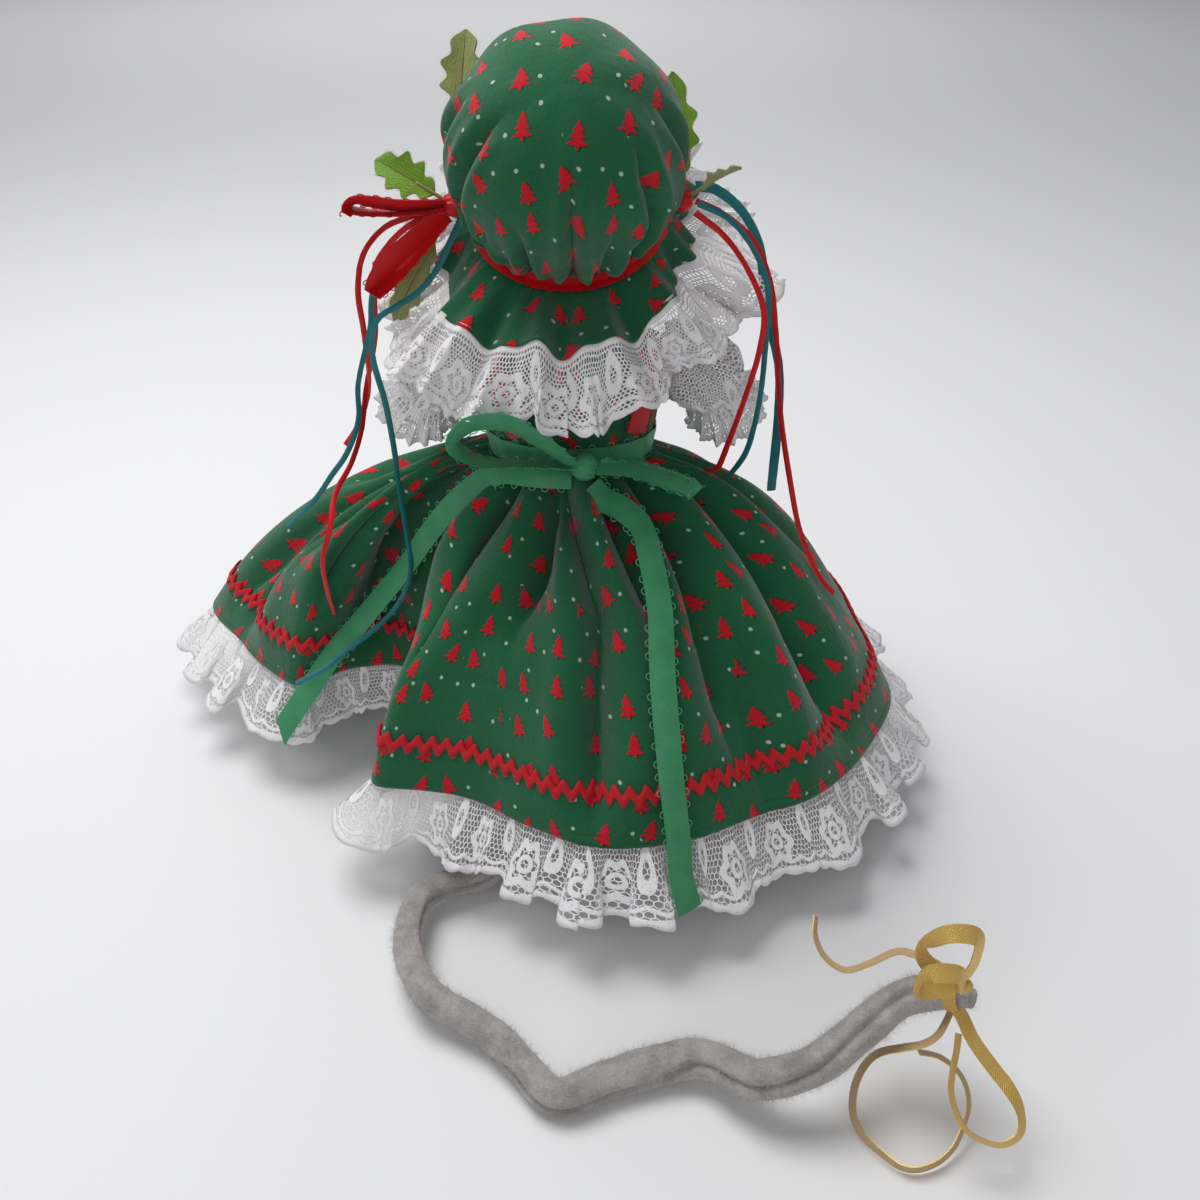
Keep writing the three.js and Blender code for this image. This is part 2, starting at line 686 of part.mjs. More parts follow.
// The bow's ends, down the skirt and over the lace below its hem, as places chosen by hand.
const sashTails = {
  left: [[0.5, -28.2, 151.5], [-8, -29.5, 152.6], [-15, -29, 153], [-25.5, -24.5, 151.6],
    [-42.5, -15.8, 135.6], [-55, -11.5, 119.3],
    [-66.7, -8.4, 101.2], [-78.6, -7.4, 85.7], [-89.3, -8.4, 72.7], [-99.9, -12.2, 61], [-109, -17.5, 49],
    [-116, -22, 40], [-123, -25, 30]],
  right: [[7.5, -31.5, 149.4], [12, -34.5, 145.8], [19, -39.5, 144.5], [25.5, -45, 140.5],
    [28.5, -55, 134.5], [31.9, -67.5, 120],
    [32.7, -81, 102.5], [34.2, -92, 86.5], [36.1, -102, 69.5], [38.6, -110.5, 51], [39.8, -115.5, 38],
    [43, -120, 26]],
};
const sashTailFaces = { left: [-0.25, -0.75, 0.62], right: [0.25, -0.85, 0.5] };

function loopCurve(centre, reach, shares) {
  return smoothCurve(shares.map(([x, y, z]) => vec(x, y, z).multiplyScalar(reach).add(centre)));
}

function makeSash() {
  const grid = [-0.5, 0.5].map((share) => {
    const level = sashLevel + (share * sashWidth) / shoulderAboveWaist;
    return bodyRing(level, sashOutside);
  });
  add("sash_band", sheetSolid(grid, ribbonThickness, true), greenRibbon);
  const knot = ball(vec(0, 0, 0), sashKnotRadius).scale(1, sashKnotDepthShare, 1);
  add("sash_knot", knot.translate(sashKnot.x, sashKnot.y, sashKnot.z), greenRibbon);
  const leftCurve = loopCurve(sashKnot, sashLoopReach, sashLeftShares);
  const rightCurve = loopCurve(sashKnot, sashLoopReach, sashRightShares);
  add("sash_loop_left", ribbon(leftCurve, 18, ribbonWidth, vec(0.2, -0.45, 1)), greenRibbon);
  add("sash_loop_right", ribbon(rightCurve, 18, ribbonWidth, vec(0, -1, 0.25)), greenRibbon);
  for (const name of ["left", "right"]) makeSashTail(name);
}

function makeSashTail(name) {
  const curve = smoothCurve(sashTails[name].map(([x, y, z]) => vec(x, y, z)));
  addLoose(`sash_tail_${name}`, ribbon(curve, 24, ribbonWidth, vec(...sashTailFaces[name])), greenRibbon);
}

// Tail: down inside the skirt to the floor, bent twice, and up off the floor towards its tip.
// Its places are shares of its reach: to the right, back and up.
const tailShares = [
  [0, -0.15, 0.614], [-0.016, -0.198, 0.54], [-0.06, -0.28, 0.33], [-0.115, -0.375, 0.13],
  [-0.165, -0.445, 0.052],
  [-0.25, -0.48, 0.052], [-0.292, -0.515, 0.058], [-0.306, -0.595, 0.065], [-0.296, -0.672, 0.065],
  [-0.25, -0.757, 0.061], [-0.19, -0.79, 0.052], [-0.129, -0.828, 0.042], [-0.073, -0.885, 0.034],
  [-0.016, -0.94, 0.034], [0.068, -0.911, 0.034], [0.156, -0.882, 0.037], [0.233, -0.88, 0.047],
  [0.297, -0.93, 0.075], [0.328, -0.952, 0.095], [0.404, -0.951, 0.125], [0.482, -0.914, 0.167],
  [0.56, -0.88, 0.208], [0.629, -0.895, 0.24], [0.654, -0.916, 0.25],
];
const tailRadiusShares = [[0, 0.75], [0.2, 0.75], [0.62, 0.85], [0.72, 1], [0.9, 0.95], [0.97, 0.85],
  [0.985, 0.75],
  [1, 0.45]];
const goldPlaceShare = 0.985;
const rootTipShare = 0.08;

// The root is rounded like a ball, so that it turns against the body without leaving it.
function makeTail() {
  const bends = tailShares.map(([x, y, z]) => vec(x, y, z).multiplyScalar(tailReach));
  const curve = smoothCurve([tailRoot.clone(), ...bends]);
  curve.arcLengthDivisions = 400;
  const length = curve.getLength();
  const radiusAt = (share) => {
    const full = tailRadius * fromTable(tailRadiusShares, share);
    const before = Math.max(0, full - share * length);
    return Math.sqrt(full ** 2 - before ** 2);
  };
  const rootShare = (tailRadius * tailRadiusShares[0][1]) / length;
  const rootPlaces = placesAlong(curve, 4, rootTipShare * rootShare, rootShare);
  const places = [...rootPlaces, ...placesAlong(curve, 40).slice(1)];
  for (const place of places) place.point.z = Math.max(place.point.z, radiusAt(place.share));
  const wired = places.slice(0, -2).map((place, i) => (
    i > 0 ? place : { ...place, point: place.point.clone().addScaledVector(place.along, gap) }));
  const [wire, bore] = wireAndBore(wired, cutOverrun, wireGap);
  add("tail", cut(limb(places, limbSides, radiusAt), bore), felt);
  add("tail_wire", wire, steel);
  makeGoldBow(placesAlong(curve, 1, goldPlaceShare, 1)[0], radiusAt(goldPlaceShare));
}

// Gold bow: a ribbon round the tail, a knot on it with two loops, and three ends on the floor.
const goldLoopShares = [
  [[-0.08, 0, 0.1], [-0.5, 0, 0.4], [-0.66, 0, 0.76], [-0.36, 0, 0.96], [-0.1, 0, 0.84],
    [-0.04, 0, 0.5], [0, 0, 0.1]],
  [[-0.1, -0.05, 0.04], [-0.5, -0.16, 0.16], [-0.44, -0.16, 0.36], [-0.14, -0.14, 0.34],
  [-0.02, -0.07, 0.08]],
];
const goldStreamers = {
  left: [[118.4, -174.2, 56.6], [114, -168.5, 56], [110, -162.5, 52.5], [105.8, -157.5, 48],
    [96.9, -159, 44], [90.3, -159.8, 42], [86.5, -157.8, 42],
    [83.1, -153.5, 43], [81.6, -147.5, 45], [82.4, -142.6, 48]],
  ring: [[121, -173.2, 39.2], [115.8, -179.5, 35.5], [112.1, -180, 32], [106.4, -178.5, 28],
    [100.4, -177.1, 24],
    [97, -177, 20], [93.4, -179.8, 15], [91.6, -183.8, 10], [91.4, -189.2, 7], [94, -193.8, 4.5],
    [98.8, -198.9, 3.5],
    [103.6, -202.9, 3], [108.3, -203.9, 3], [114.5, -201.6, 3.5], [118, -196.8, 4.5], [120.5, -192.3, 6],
    [124.6, -186.3, 11], [128.2, -184.1, 14], [125.9, -180.1, 17], [123.4, -177.9, 18], [119.1, -175.7, 20],
    [112.9, -174.9, 21]],
  drop: [[122.6, -177.5, 42.1], [125, -182.5, 38.5], [128.4, -185, 34], [132.6, -187.5, 29],
    [136.4, -190.4, 25],
    [139.3, -193.8, 21], [140, -197.6, 18], [138.7, -200.5, 16], [134.8, -202.6, 15], [131.3, -203.2, 15],
    [126.2, -202.2, 16], [122.5, -200.9, 18], [120, -198.6, 21], [118.6, -195.5, 24], [117.9, -192.5, 28],
    [119.1, -188.3, 32], [120.2, -186.2, 34.5]],
};

const goldKnotWay = { back: 0.5, up: 0.9 };

function makeGoldBow(place, radius) {
  const across = gap + ribbonThickness / 2;
  const wrap = [-0.5, 0.5].map((share) => {
    const point = place.point.clone().addScaledVector(place.along, share * goldWidth);
    return ringAt({ ...place, point }, radius + across + 2 * gap, limbSides);
  });
  for (const ring of wrap) for (const point of ring) point.z = Math.max(point.z, ribbonThickness / 2);
  add("gold_wrap", sheetSolid(wrap, ribbonThickness, true), goldRibbon);
  const rise = radius + across + ribbonThickness + 2 * gap + goldKnotRadius;
  const knotAt = place.point.clone().add(vec(0, -rise * goldKnotWay.back, rise * goldKnotWay.up));
  const loopFace = vec(1, 0, 0.3);
  const pieces = goldLoopShares.map((shares) => (
    ribbon(loopCurve(knotAt, goldLoopReach, shares), 14, goldWidth, loopFace)));
  add("gold_bow", joined(ball(knotAt, goldKnotRadius), ...pieces), goldRibbon);
  for (const [name, points] of Object.entries(goldStreamers)) {
    const curve = smoothCurve(points.map(([x, y, z]) => vec(x, y, z)));
    addLoose(`gold_streamer_${name}`, ribbon(curve, 18, goldWidth, vec(0, 0, 1)), goldRibbon);
  }
}

// Head: rings from the back of the skull to the snout. Each is a share of the head's radius
// forward, its radius and how far it lies below the head's middle.
const headShares = [
  [-0.98, 0.18, 0], [-0.86, 0.5, 0], [-0.6, 0.8, 0], [-0.25, 0.97, 0], [0.15, 0.99, 0], [0.5, 0.866, 0],
  [0.8, 0.68, 0.06], [1.1, 0.5, 0.13], [1.4, 0.36, 0.18], [1.65, 0.27, 0.2], [1.82, 0.14, 0.2],
];
const eyeForwardShare = 0.84;
const eyeTurnShare = 0.15;
const headCentre = vec(0, headForward, neckTop + headAboveNeck);

function headPoint(forward, turn) {
  const radius = fromTable(headShares.map(([at, share]) => [at, share]), forward);
  const drop = fromTable(headShares.map(([at, , share]) => [at, share]), forward);
  const angle = 2 * Math.PI * turn;
  return vec(radius * Math.sin(angle), forward, radius * Math.cos(angle) - drop)
    .multiplyScalar(headRadius).add(headCentre);
}

function makeHead() {
  const rings = headShares.map(([forward]) => (
    Array.from({ length: bodySides }, (_, j) => headPoint(forward, j / bodySides))));
  const snout = headShares[headShares.length - 1];
  const nose = headPoint(snout[0], 0).setZ(headCentre.z - snout[2] * headRadius);
  const eyes = [-1, 1].map((side) => headPoint(eyeForwardShare, side * eyeTurnShare));
  const post = bar(
    vec(0, 0, neckTop - cutOverrun), vec(0, 0, neckTop + neckPostDepth + wireGap), wireRadius + wireGap);
  const sockets = [nose, ...eyes].map((centre, i) => ball(centre, (i === 0 ? noseRadius : eyeRadius) + gap));
  add("head", cut(ringsSolid(rings), slab(0, neckTop + gap), post, ...sockets), felt);
  add("nose", ball(nose, noseRadius), pinkFelt);
  add("left_eye", ball(eyes[0], eyeRadius), bead);
  add("right_eye", ball(eyes[1], eyeRadius), bead);
}

// The cap's own directions: its axis points back and up, and forehead lies square to it.
const capAxis = vec(0, -Math.cos(radians(capTilt)), Math.sin(radians(capTilt)));
const forehead = vec(0, Math.sin(radians(capTilt)), Math.cos(radians(capTilt)));
const capCentre = headCentre.clone().addScaledVector(capAxis, capBehindHead);

// Straight out of the cap's axis. Turn 0 is at the nape, a quarter turn at +X, a half at the forehead.
function capOut(turn) {
  const angle = 2 * Math.PI * turn;
  return forehead.clone().multiplyScalar(-Math.cos(angle)).add(vec(Math.sin(angle), 0, 0));
}

function capPoint(turn, radius, behind) {
  return capCentre.clone().addScaledVector(capOut(turn), radius).addScaledVector(capAxis, behind);
}

const crownRowShares = [0.05, 0.2, 0.35, 0.5, 0.62, 0.74, 0.87, 1];

function crownRings(inside, columns) {
  const widest = crownRadius - inside;
  const lastAngle = Math.acos(-crownAboveBand / widest);
  const rings = [];
  for (const share of crownRowShares) {
    const angle = lastAngle * share;
    const behind = crownAboveBand + widest * Math.cos(angle);
    const lift = crownLift * Math.min(1, behind / crownAboveBand);
    const depth = inside > 0 ? 0 : pleatDepth * share * share;
    rings.push(Array.from({ length: columns }, (_, j) => {
      const pleat = depth * Math.cos((2 * Math.PI * capPleats * j) / columns);
      return capPoint(j / columns, widest * Math.sin(angle) + pleat, behind).addScaledVector(forehead, lift);
    }));
  }
  return rings;
}

function makeCap() {
  const inner = crownRings(clothThickness + pleatDepth, bodySides);
  const innerEdge = inner[inner.length - 1].map((point) => (
    point.clone().addScaledVector(capAxis, -cutOverrun)));
  const crown = cut(ringsSolid(crownRings(0, 3 * capPleats)), ringsSolid([...inner, innerEdge]));
  add("cap_crown", crown, print);
  const band = [-gap, -gap - capBandWidth].map((behind) => (
    Array.from({ length: bodySides }, (_, j) => capPoint(j / bodySides, capRadius, behind))));
  add("cap_band", sheetSolid(band, ribbonThickness, true), redRibbon);
  makeBrim();
}

// The way the brim and its lace run, as shares of a quarter turn from straight out to forward.
const brimTurnShares = [
  [0, -0.24], [0.06, -0.13], [0.125, 0.11], [0.16, 0.55], [0.2, 0.74], [0.25, 0.8], [0.38, 0.78],
  [0.5, 0.67],
];
const laceTurnShares = [
  [0, 0.32], [0.08, 0.28], [0.125, 0.21], [0.2, 0.2], [0.25, 0.08], [0.3, 0.4], [0.38, 0.7], [0.5, 0.67],
];

// The way at a turn, this many shares of a quarter turn further forward.
function brimWay(table, turn, further = 0) {
  const angle = (Math.PI / 2) * (fromTable(table, Math.min(turn, 1 - turn)) + further);
  return capOut(turn).multiplyScalar(Math.cos(angle)).addScaledVector(capAxis, -Math.sin(angle));
}

// A ruffle's wave, square to the way it runs.
function brimRipple(table, turn, waves) {
  return brimWay(table, turn, 1).multiplyScalar(Math.cos(2 * Math.PI * waves * turn));
}

function makeBrim() {
  const start = -(capBandWidth + 2 * gap + clothThickness / 2);
  const grid = [0, 0.5, 1].map((share) => Array.from({ length: brimColumns }, (_, j) => {
    const turn = j / brimColumns;
    return capPoint(turn, capRadius, start)
      .addScaledVector(brimWay(brimTurnShares, turn), brimLength * share)
      .addScaledVector(brimRipple(brimTurnShares, turn, brimWaves), brimWave * share);
  }));
  add("cap_brim", sheetSolid(grid, clothThickness, true), print);
  const edge = grid[grid.length - 1];
  const laceGrid = [0, 1].map((share) => Array.from({ length: brimLaceColumns }, (_, j) => {
    const turn = j / brimLaceColumns;
    const column = Math.floor(j / 2);
    return edge[column].clone().lerp(edge[(column + 1) % brimColumns], (j % 2) / 2)
      .addScaledVector(brimWay(brimTurnShares, turn), clothThickness / 2 + gap + laceThickness / 2)
      .addScaledVector(brimWay(laceTurnShares, turn), brimLaceWidth * share)
      .addScaledVector(brimRipple(laceTurnShares, turn, brimLaceWaves), brimLaceWave * share);
  }));
  add("brim_lace", sheetSolid(laceGrid, laceThickness, true), lace);
}

// Ears: flat felt, standing out between the crown and the brim, on the band.
const earMiddleShare = 0.34;
const earHalfShare = 0.072;

function makeEar(side, name) {
  const steps = 12;
  const base = capRadius + ribbonThickness / 2 + gap;
  const outline = new THREE.Shape();
  const edge = (share, radius) => {
    const angle = 2 * Math.PI * (earMiddleShare + earHalfShare * share);
    return [side * radius * Math.sin(angle), -radius * Math.cos(angle)];
  };
  outline.moveTo(...edge(-1, base));
  for (let i = 1; i < steps; i++) {
    const share = (2 * i) / steps - 1;
    outline.lineTo(...edge(share, base + earReach * Math.sqrt(Math.sqrt(1 - share ** 2))));
  }
  for (let i = steps; i > 0; i--) outline.lineTo(...edge((2 * i) / steps - 1, base));
  const ear = new THREE.ExtrudeGeometry(outline, { depth: earThickness, bevelEnabled: false });
  ear.translate(0, 0, -gap - (capBandWidth + earThickness) / 2);
  ear.applyMatrix4(new THREE.Matrix4().makeBasis(vec(1, 0, 0), forehead, capAxis));
  ear.translate(capCentre.x, capCentre.y, capCentre.z);
  add(`${name}_ear`, ear, pinkFelt);
}

// Holly: each side has a knot on the band, and leaves on stems that come out of it.
const sprigTurnShares = { left: 0.785, right: 0.222 };
const leafOutlineShares = [
  [0, 0.1], [0.12, 0.5], [0.22, 0.42], [0.34, 0.9], [0.46, 0.62], [0.6, 0.92], [0.72, 0.5], [0.84, 0.56],
  [1, 0.06],
];

function sprigKnot(name) {
  const out = capRadius + ribbonThickness / 2 + gap + sprigKnotRadius;
  return capPoint(sprigTurnShares[name], out, -gap - capBandWidth / 2 + sprigKnotRadius / 2);
}

const leafCurlShare = 0.125;
const stemInLeafShare = 0.25;

// A leaf lies flat along its way, with its face to one side, and its stem runs back to the knot.
function makeLeaf(name, knot, way, face, lengthShare, stemShare) {
  const along = way.clone().normalize();
  const across = along.clone().cross(face).normalize();
  const upward = across.clone().cross(along);
  const start = knot.clone().addScaledVector(along, sprigKnotRadius + gap);
  const base = start.clone().addScaledVector(along, stemShare * leafLength);
  const length = leafLength * lengthShare;
  const grid = leafOutlineShares.map(([share, half]) => [-1, 0, 1].map((edge) => (
    base.clone().addScaledVector(along, length * share)
      .addScaledVector(across, (edge * half * leafWidth) / 2)
      .addScaledVector(upward, leafWidth * leafCurlShare * Math.abs(edge) * half))));
  const stem = bar(start, base.clone().addScaledVector(along, length * stemInLeafShare), stemRadius);
  add(name, joined(sheetSolid(grid, leafThickness), stem), leafGreen);
}

const redLoopShares = [
  [[-0.06, -0.05, 0.02], [-0.5, -0.1, 0.02], [-0.95, -0.1, 0.06], [-1.02, -0.06, -0.02],
  [-0.6, -0.02, -0.08],
    [-0.08, 0, -0.04]],
  [[-0.06, -0.05, -0.08], [-0.4, -0.14, -0.3], [-0.74, -0.14, -0.62], [-0.84, -0.1, -0.82],
  [-0.66, -0.05, -0.7],
    [-0.08, 0, -0.12]],
];

function makeSprigs() {
  const left = sprigKnot("left");
  const right = sprigKnot("right");
  const loops = redLoopShares.map((shares) => (
    ribbon(loopCurve(left, redLoopReach, shares), 14, ribbonWidth, vec(0, -0.9, 0.45))));
  add("red_bow", joined(ball(left, sprigKnotRadius), ...loops), redRibbon);
  add("sprig_knot", ball(right, sprigKnotRadius), redRibbon);
  makeLeaf("leaf_left_top", left, vec(-0.12, 0.45, 0.9), vec(-0.5, -0.8, 0.2), 0.8, 0.75);
  makeLeaf("leaf_left_middle", left, vec(-0.72, 0.7, 0.25), vec(0, -0.8, 0.6), 0.72, 0.1);
  makeLeaf("leaf_left_low", left, vec(-0.5, 0.2, -0.85), vec(-0.3, -0.85, 0.4), 1.05, 0.35);
  makeLeaf("leaf_right_top", right, vec(0.3, 0.45, 0.84), vec(0.5, -0.8, 0.3), 0.8, 0.1);
  makeLeaf("leaf_right_side", right, vec(0.88, -0.3, 0.12), vec(-0.1, 0.25, 1), 0.6, 0.1);
}

// Narrow streamers: places chosen by hand, from the knots down over the skirt.
const streamers = {
  left_red_1: [[-43, -6, 241], [-53, -4, 236], [-62, 1, 228], [-69, 4, 218], [-71, 7, 205], [-73, 11, 190],
    [-79, 13, 168], [-83, 14.5, 150], [-88, 12, 137], [-93, 0, 129.5], [-94.5, -10.5, 119],
    [-98, -13.4, 108],
    [-98, -14, 95], [-97.5, -10.5, 80]],
  left_red_2: [[-43, -3, 242.5], [-52, 2, 236], [-62, 7, 229], [-69, 10, 219], [-71, 12, 205],
    [-71, 18, 185],
    [-74, 24, 160], [-83, 25, 145.5], [-90, 19, 141]],
  left_teal_1: [[-41, -2, 240], [-46, -2, 234.5], [-55, -2, 229], [-64, -2, 221], [-69.5, -2, 211],
    [-72, 0, 198],
    [-75.5, 3, 188], [-80.5, 6, 172], [-82, 7, 158], [-88, 6, 144], [-95, 6, 134.5], [-102, 5, 125],
    [-117.1, 10, 109]],
  left_teal_2: [[-36, -5.5, 238.5], [-40, -6, 231], [-45, -9, 222], [-52, -12, 214.5], [-60, -12, 209.5],
    [-67, -13, 205],
    [-69.5, -15, 195], [-66, -18, 175], [-65, -16, 155], [-66, -10, 142], [-65, -10.5, 126], [-64, -13, 116],
    [-63, -16, 108], [-66, -13, 95], [-74, -9, 80], [-84, -11.8, 71], [-93, -15.5, 65.5],
    [-102, -22, 60.5], [-113, -26, 56]],
  right_teal_1: [[43, -3, 248], [50, 2, 246], [60, 5, 238], [67, 6, 226], [72, 7, 201], [78, 7, 180],
    [79.5, 7, 160],
    [79, 6, 128]],
  right_red_1: [[43, -9, 241], [53, -13, 234], [62, -14, 222], [68, -14, 208], [67, -17, 195],
    [63, -18, 178],
    [58, -18, 160], [55, -14, 148], [52, -4, 142]],
  right_teal_2: [[44, -7, 243.5], [54, -8, 239], [63, -7, 229], [69.5, -7, 215], [70, -10, 195],
    [69, -13, 175],
    [66, -12, 155], [61, 0, 137]],
  right_red_2: [[43.5, -2, 243], [53, 1, 238], [64, 1, 229], [71, 0, 215], [75, 0, 195], [79, 0, 165],
    [84, -2, 140],
    [90, -8, 116], [97, -19, 103], [103, -20, 96]],
};

function makeStreamers() {
  for (const [name, points] of Object.entries(streamers)) {
    const width = name === "right_teal_1" ? wideStreamerWidth : streamerWidth;
    const curve = smoothCurve(points.map(([x, y, z]) => vec(x, y, z)));
    const material = name.includes("teal") ? tealRibbon : redRibbon;
    addLoose(`streamer_${name}`, ribbon(curve, 12, width, vec(0, -1, 0.3)), material);
  }
}

makeBody();
for (const [side, name] of [[-1, "left"], [1, "right"]]) {
  makeLeg(side, name);
  makeArm(side, name);
  makeStrap(side, name);
  makeEar(side, name);
}
makeBodice();
makeSkirt();
makeSash();
makeTail();
makeHead();
makeCap();
makeSprigs();
makeStreamers();

// The doll is moved so that the middle of what is not loose stands over the origin.
const whole = new THREE.Box3();
for (const mesh of root.children) {
  if (!looseNames.has(mesh.name)) whole.expandByObject(mesh);
}
const middle = whole.getCenter(vec(0, 0, 0));
root.position.set(-middle.x, -middle.y, 0);
console.log(`the doll's axis stands at x ${(-middle.x).toFixed(3)}, y ${(-middle.y).toFixed(3)}`);

export default root;
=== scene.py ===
# %% [markdown]
# # A stuffed mouse doll in a printed frock
# The doll is sewn from felt, cotton, lace and ribbon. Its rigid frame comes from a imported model, which
# this script loads first. Every piece of cloth is then made over it, in metres, in the same place.
# The lesson: almost all soft goods here are flat grids that are laid along curves and surfaces, the
# way a dressmaker lays cut cloth over a form, because real folds come from flat cloth too.

import math
import random

import bmesh
import bpy
import numpy as np
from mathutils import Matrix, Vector


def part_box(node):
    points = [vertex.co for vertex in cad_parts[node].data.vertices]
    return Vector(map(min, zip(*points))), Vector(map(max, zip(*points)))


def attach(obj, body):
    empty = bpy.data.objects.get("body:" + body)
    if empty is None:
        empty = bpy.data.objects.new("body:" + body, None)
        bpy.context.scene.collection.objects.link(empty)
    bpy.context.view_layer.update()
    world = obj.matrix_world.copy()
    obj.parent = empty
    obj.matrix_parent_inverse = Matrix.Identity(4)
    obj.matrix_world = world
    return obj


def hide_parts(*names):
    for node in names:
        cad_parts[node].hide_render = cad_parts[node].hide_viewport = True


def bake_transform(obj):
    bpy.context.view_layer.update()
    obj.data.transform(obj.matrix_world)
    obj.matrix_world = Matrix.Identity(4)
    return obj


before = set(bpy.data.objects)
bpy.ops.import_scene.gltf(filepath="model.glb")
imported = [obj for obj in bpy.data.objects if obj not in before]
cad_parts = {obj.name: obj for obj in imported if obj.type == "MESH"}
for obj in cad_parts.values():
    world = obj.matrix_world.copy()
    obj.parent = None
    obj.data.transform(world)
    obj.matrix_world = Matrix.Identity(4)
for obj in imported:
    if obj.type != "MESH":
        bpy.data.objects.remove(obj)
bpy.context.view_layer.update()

# %% [markdown]
# ## Millimetres and the doll's own axis
# Sewing sizes are easiest in millimetres, measured from the point on the floor under the doll's neck.
# Both soles are known to the frame, so their middle gives that point.

# %% The doll's axis
MM = 0.001
SOLE_FORWARD = 10.0
left_low, left_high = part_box("left_sole")
_, right_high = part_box("right_sole")
AXIS_X = (left_low[0] + right_high[0]) / 2 / MM
AXIS_Y = (left_low[1] + left_high[1]) / 2 / MM - SOLE_FORWARD
print("the doll stands at", round(AXIS_X, 3), round(AXIS_Y, 3), "mm")


def row(x, y, z):
    return Vector((x + AXIS_X, y + AXIS_Y, z)) * MM


# %% [markdown]
# ## Camera
# The photograph looks at the doll's back from 352 mm above the floor and 419 mm away, pitched down by
# 33 degrees, with a lens that is about as long as the picture is wide.

# %% Camera
CAMERA_AT = np.array([11.0, -419.0, 352.0])
CAMERA_DOWN = 33
camera_data = bpy.data.cameras.new("camera")
camera = bpy.data.objects.new("camera", camera_data)
bpy.context.scene.collection.objects.link(camera)
camera.location = row(*CAMERA_AT)
camera.rotation_euler = (math.radians(90 - CAMERA_DOWN), 0, 0)
camera_data.sensor_width = 36
camera_data.lens = 36.09
camera_data.clip_start = 0.01
bpy.context.scene.camera = camera
print("camera at", [round(x, 3) for x in camera.location])

# %% [markdown]
# ## Smooth lines
# Ribbons, the tail and the hem all follow smooth lines through a few chosen points. A centripetal
# Catmull-Rom spline passes through every point without loops at sharp turns, so it is used for all.


# %% A smooth line
LINE_STEPS = 40


class Line:
    """A smooth line through points, read by its share of the whole length."""

    def __init__(self, points, closed=False):
        pts = [np.array(p, float) for p in points]
        count = len(pts)
        spans = count if closed else count - 1
        out = []
        for i in range(spans):
            if closed:
                p0, p1, p2, p3 = (pts[(i + k - 1) % count] for k in range(4))
            else:
                p1, p2 = pts[i], pts[i + 1]
                p0 = pts[i - 1] if i > 0 else 2 * pts[0] - pts[1]
                p3 = pts[i + 2] if i + 2 < count else 2 * pts[-1] - pts[-2]
            d0, d1, d2 = (max(np.linalg.norm(b - a), 1e-9) ** 0.5 for a, b in ((p0, p1), (p1, p2), (p2, p3)))
            t1 = ((p1 - p0) / d0 - (p2 - p0) / (d0 + d1) + (p2 - p1) / d1) * d1
            t2 = ((p2 - p1) / d1 - (p3 - p1) / (d1 + d2) + (p3 - p2) / d2) * d1
            for k in range(LINE_STEPS):
                t = k / LINE_STEPS
                out.append(p1 + t1 * t + (-3 * p1 + 3 * p2 - 2 * t1 - t2) * t * t
                           + (2 * p1 - 2 * p2 + t1 + t2) * t ** 3)
        out.append(pts[0] if closed else pts[-1])
        self.points = np.array(out)
        steps = np.linalg.norm(np.diff(self.points, axis=0), axis=1)
        self.run = np.concatenate([[0], np.cumsum(steps)])
        self.length = float(self.run[-1])

    def at(self, share):
        where = min(max(share, 0.0), 1.0) * self.length
        return np.array([np.interp(where, self.run, self.points[:, k]) for k in range(3)])

    def along(self, share):
        step = 0.5 / len(self.points)
        way = self.at(share + step) - self.at(share - step)
        return way / max(np.linalg.norm(way), 1e-9)


def from_table(table, place):
    """A value read from a table of (place, value) with straight lines between its entries."""
    return float(np.interp(place, [a for a, _ in table], [b for _, b in table]))


def unit(v):
    v = np.array(v, float)
    return v / max(np.linalg.norm(v), 1e-9)


print("a smooth line of three points:", round(Line([(0, 0, 0), (1, 1, 0), (2, 0, 0)]).length, 3))

# %% [markdown]
# ## Turning a mesh under construction into a piece
# Each piece is built in millimetres, moved to its place in the row in its mesh, and rides on a body of
# the frame. Its object stays at the origin, so its patterns stay put wherever the piece is moved.


# %% Finish a piece
def make_piece(name, bm, body, material, replaces=()):
    bmesh.ops.translate(bm, verts=bm.verts, vec=(AXIS_X, AXIS_Y, 0))
    bmesh.ops.scale(bm, verts=bm.verts, vec=(MM, MM, MM))
    name = name.replace(" ", "_")
    mesh = bpy.data.meshes.new(name)
    for face in bm.faces:
        face.smooth = True
    bm.to_mesh(mesh)
    bm.free()
    piece = bpy.data.objects.new(name, mesh)
    bpy.context.scene.collection.objects.link(piece)
    for one in material if isinstance(material, list) else [material]:
        mesh.materials.append(one)
    if body:
        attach(piece, body)
    if replaces:
        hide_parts(*replaces)
    return piece


def thicken(piece, thickness, offset=0.0, back_material=0, crisp=False):
    solid = piece.modifiers.new("thickness", "SOLIDIFY")
    solid.thickness = thickness * MM
    solid.offset = offset
    solid.material_offset = back_material
    solid.use_even_offset = False
    if crisp:
        piece.modifiers.new("crisp edge", "EDGE_SPLIT").split_angle = math.radians(55)


# %% [markdown]
# ## Laying cloth
# A grid is the natural start for cloth: its rows and columns are the weft and warp. Each grid point is
# laid where a rule puts it, and the UV map keeps its place on the flat cloth in millimetres, so that
# prints, nets and weaves keep their real size however the cloth is folded.


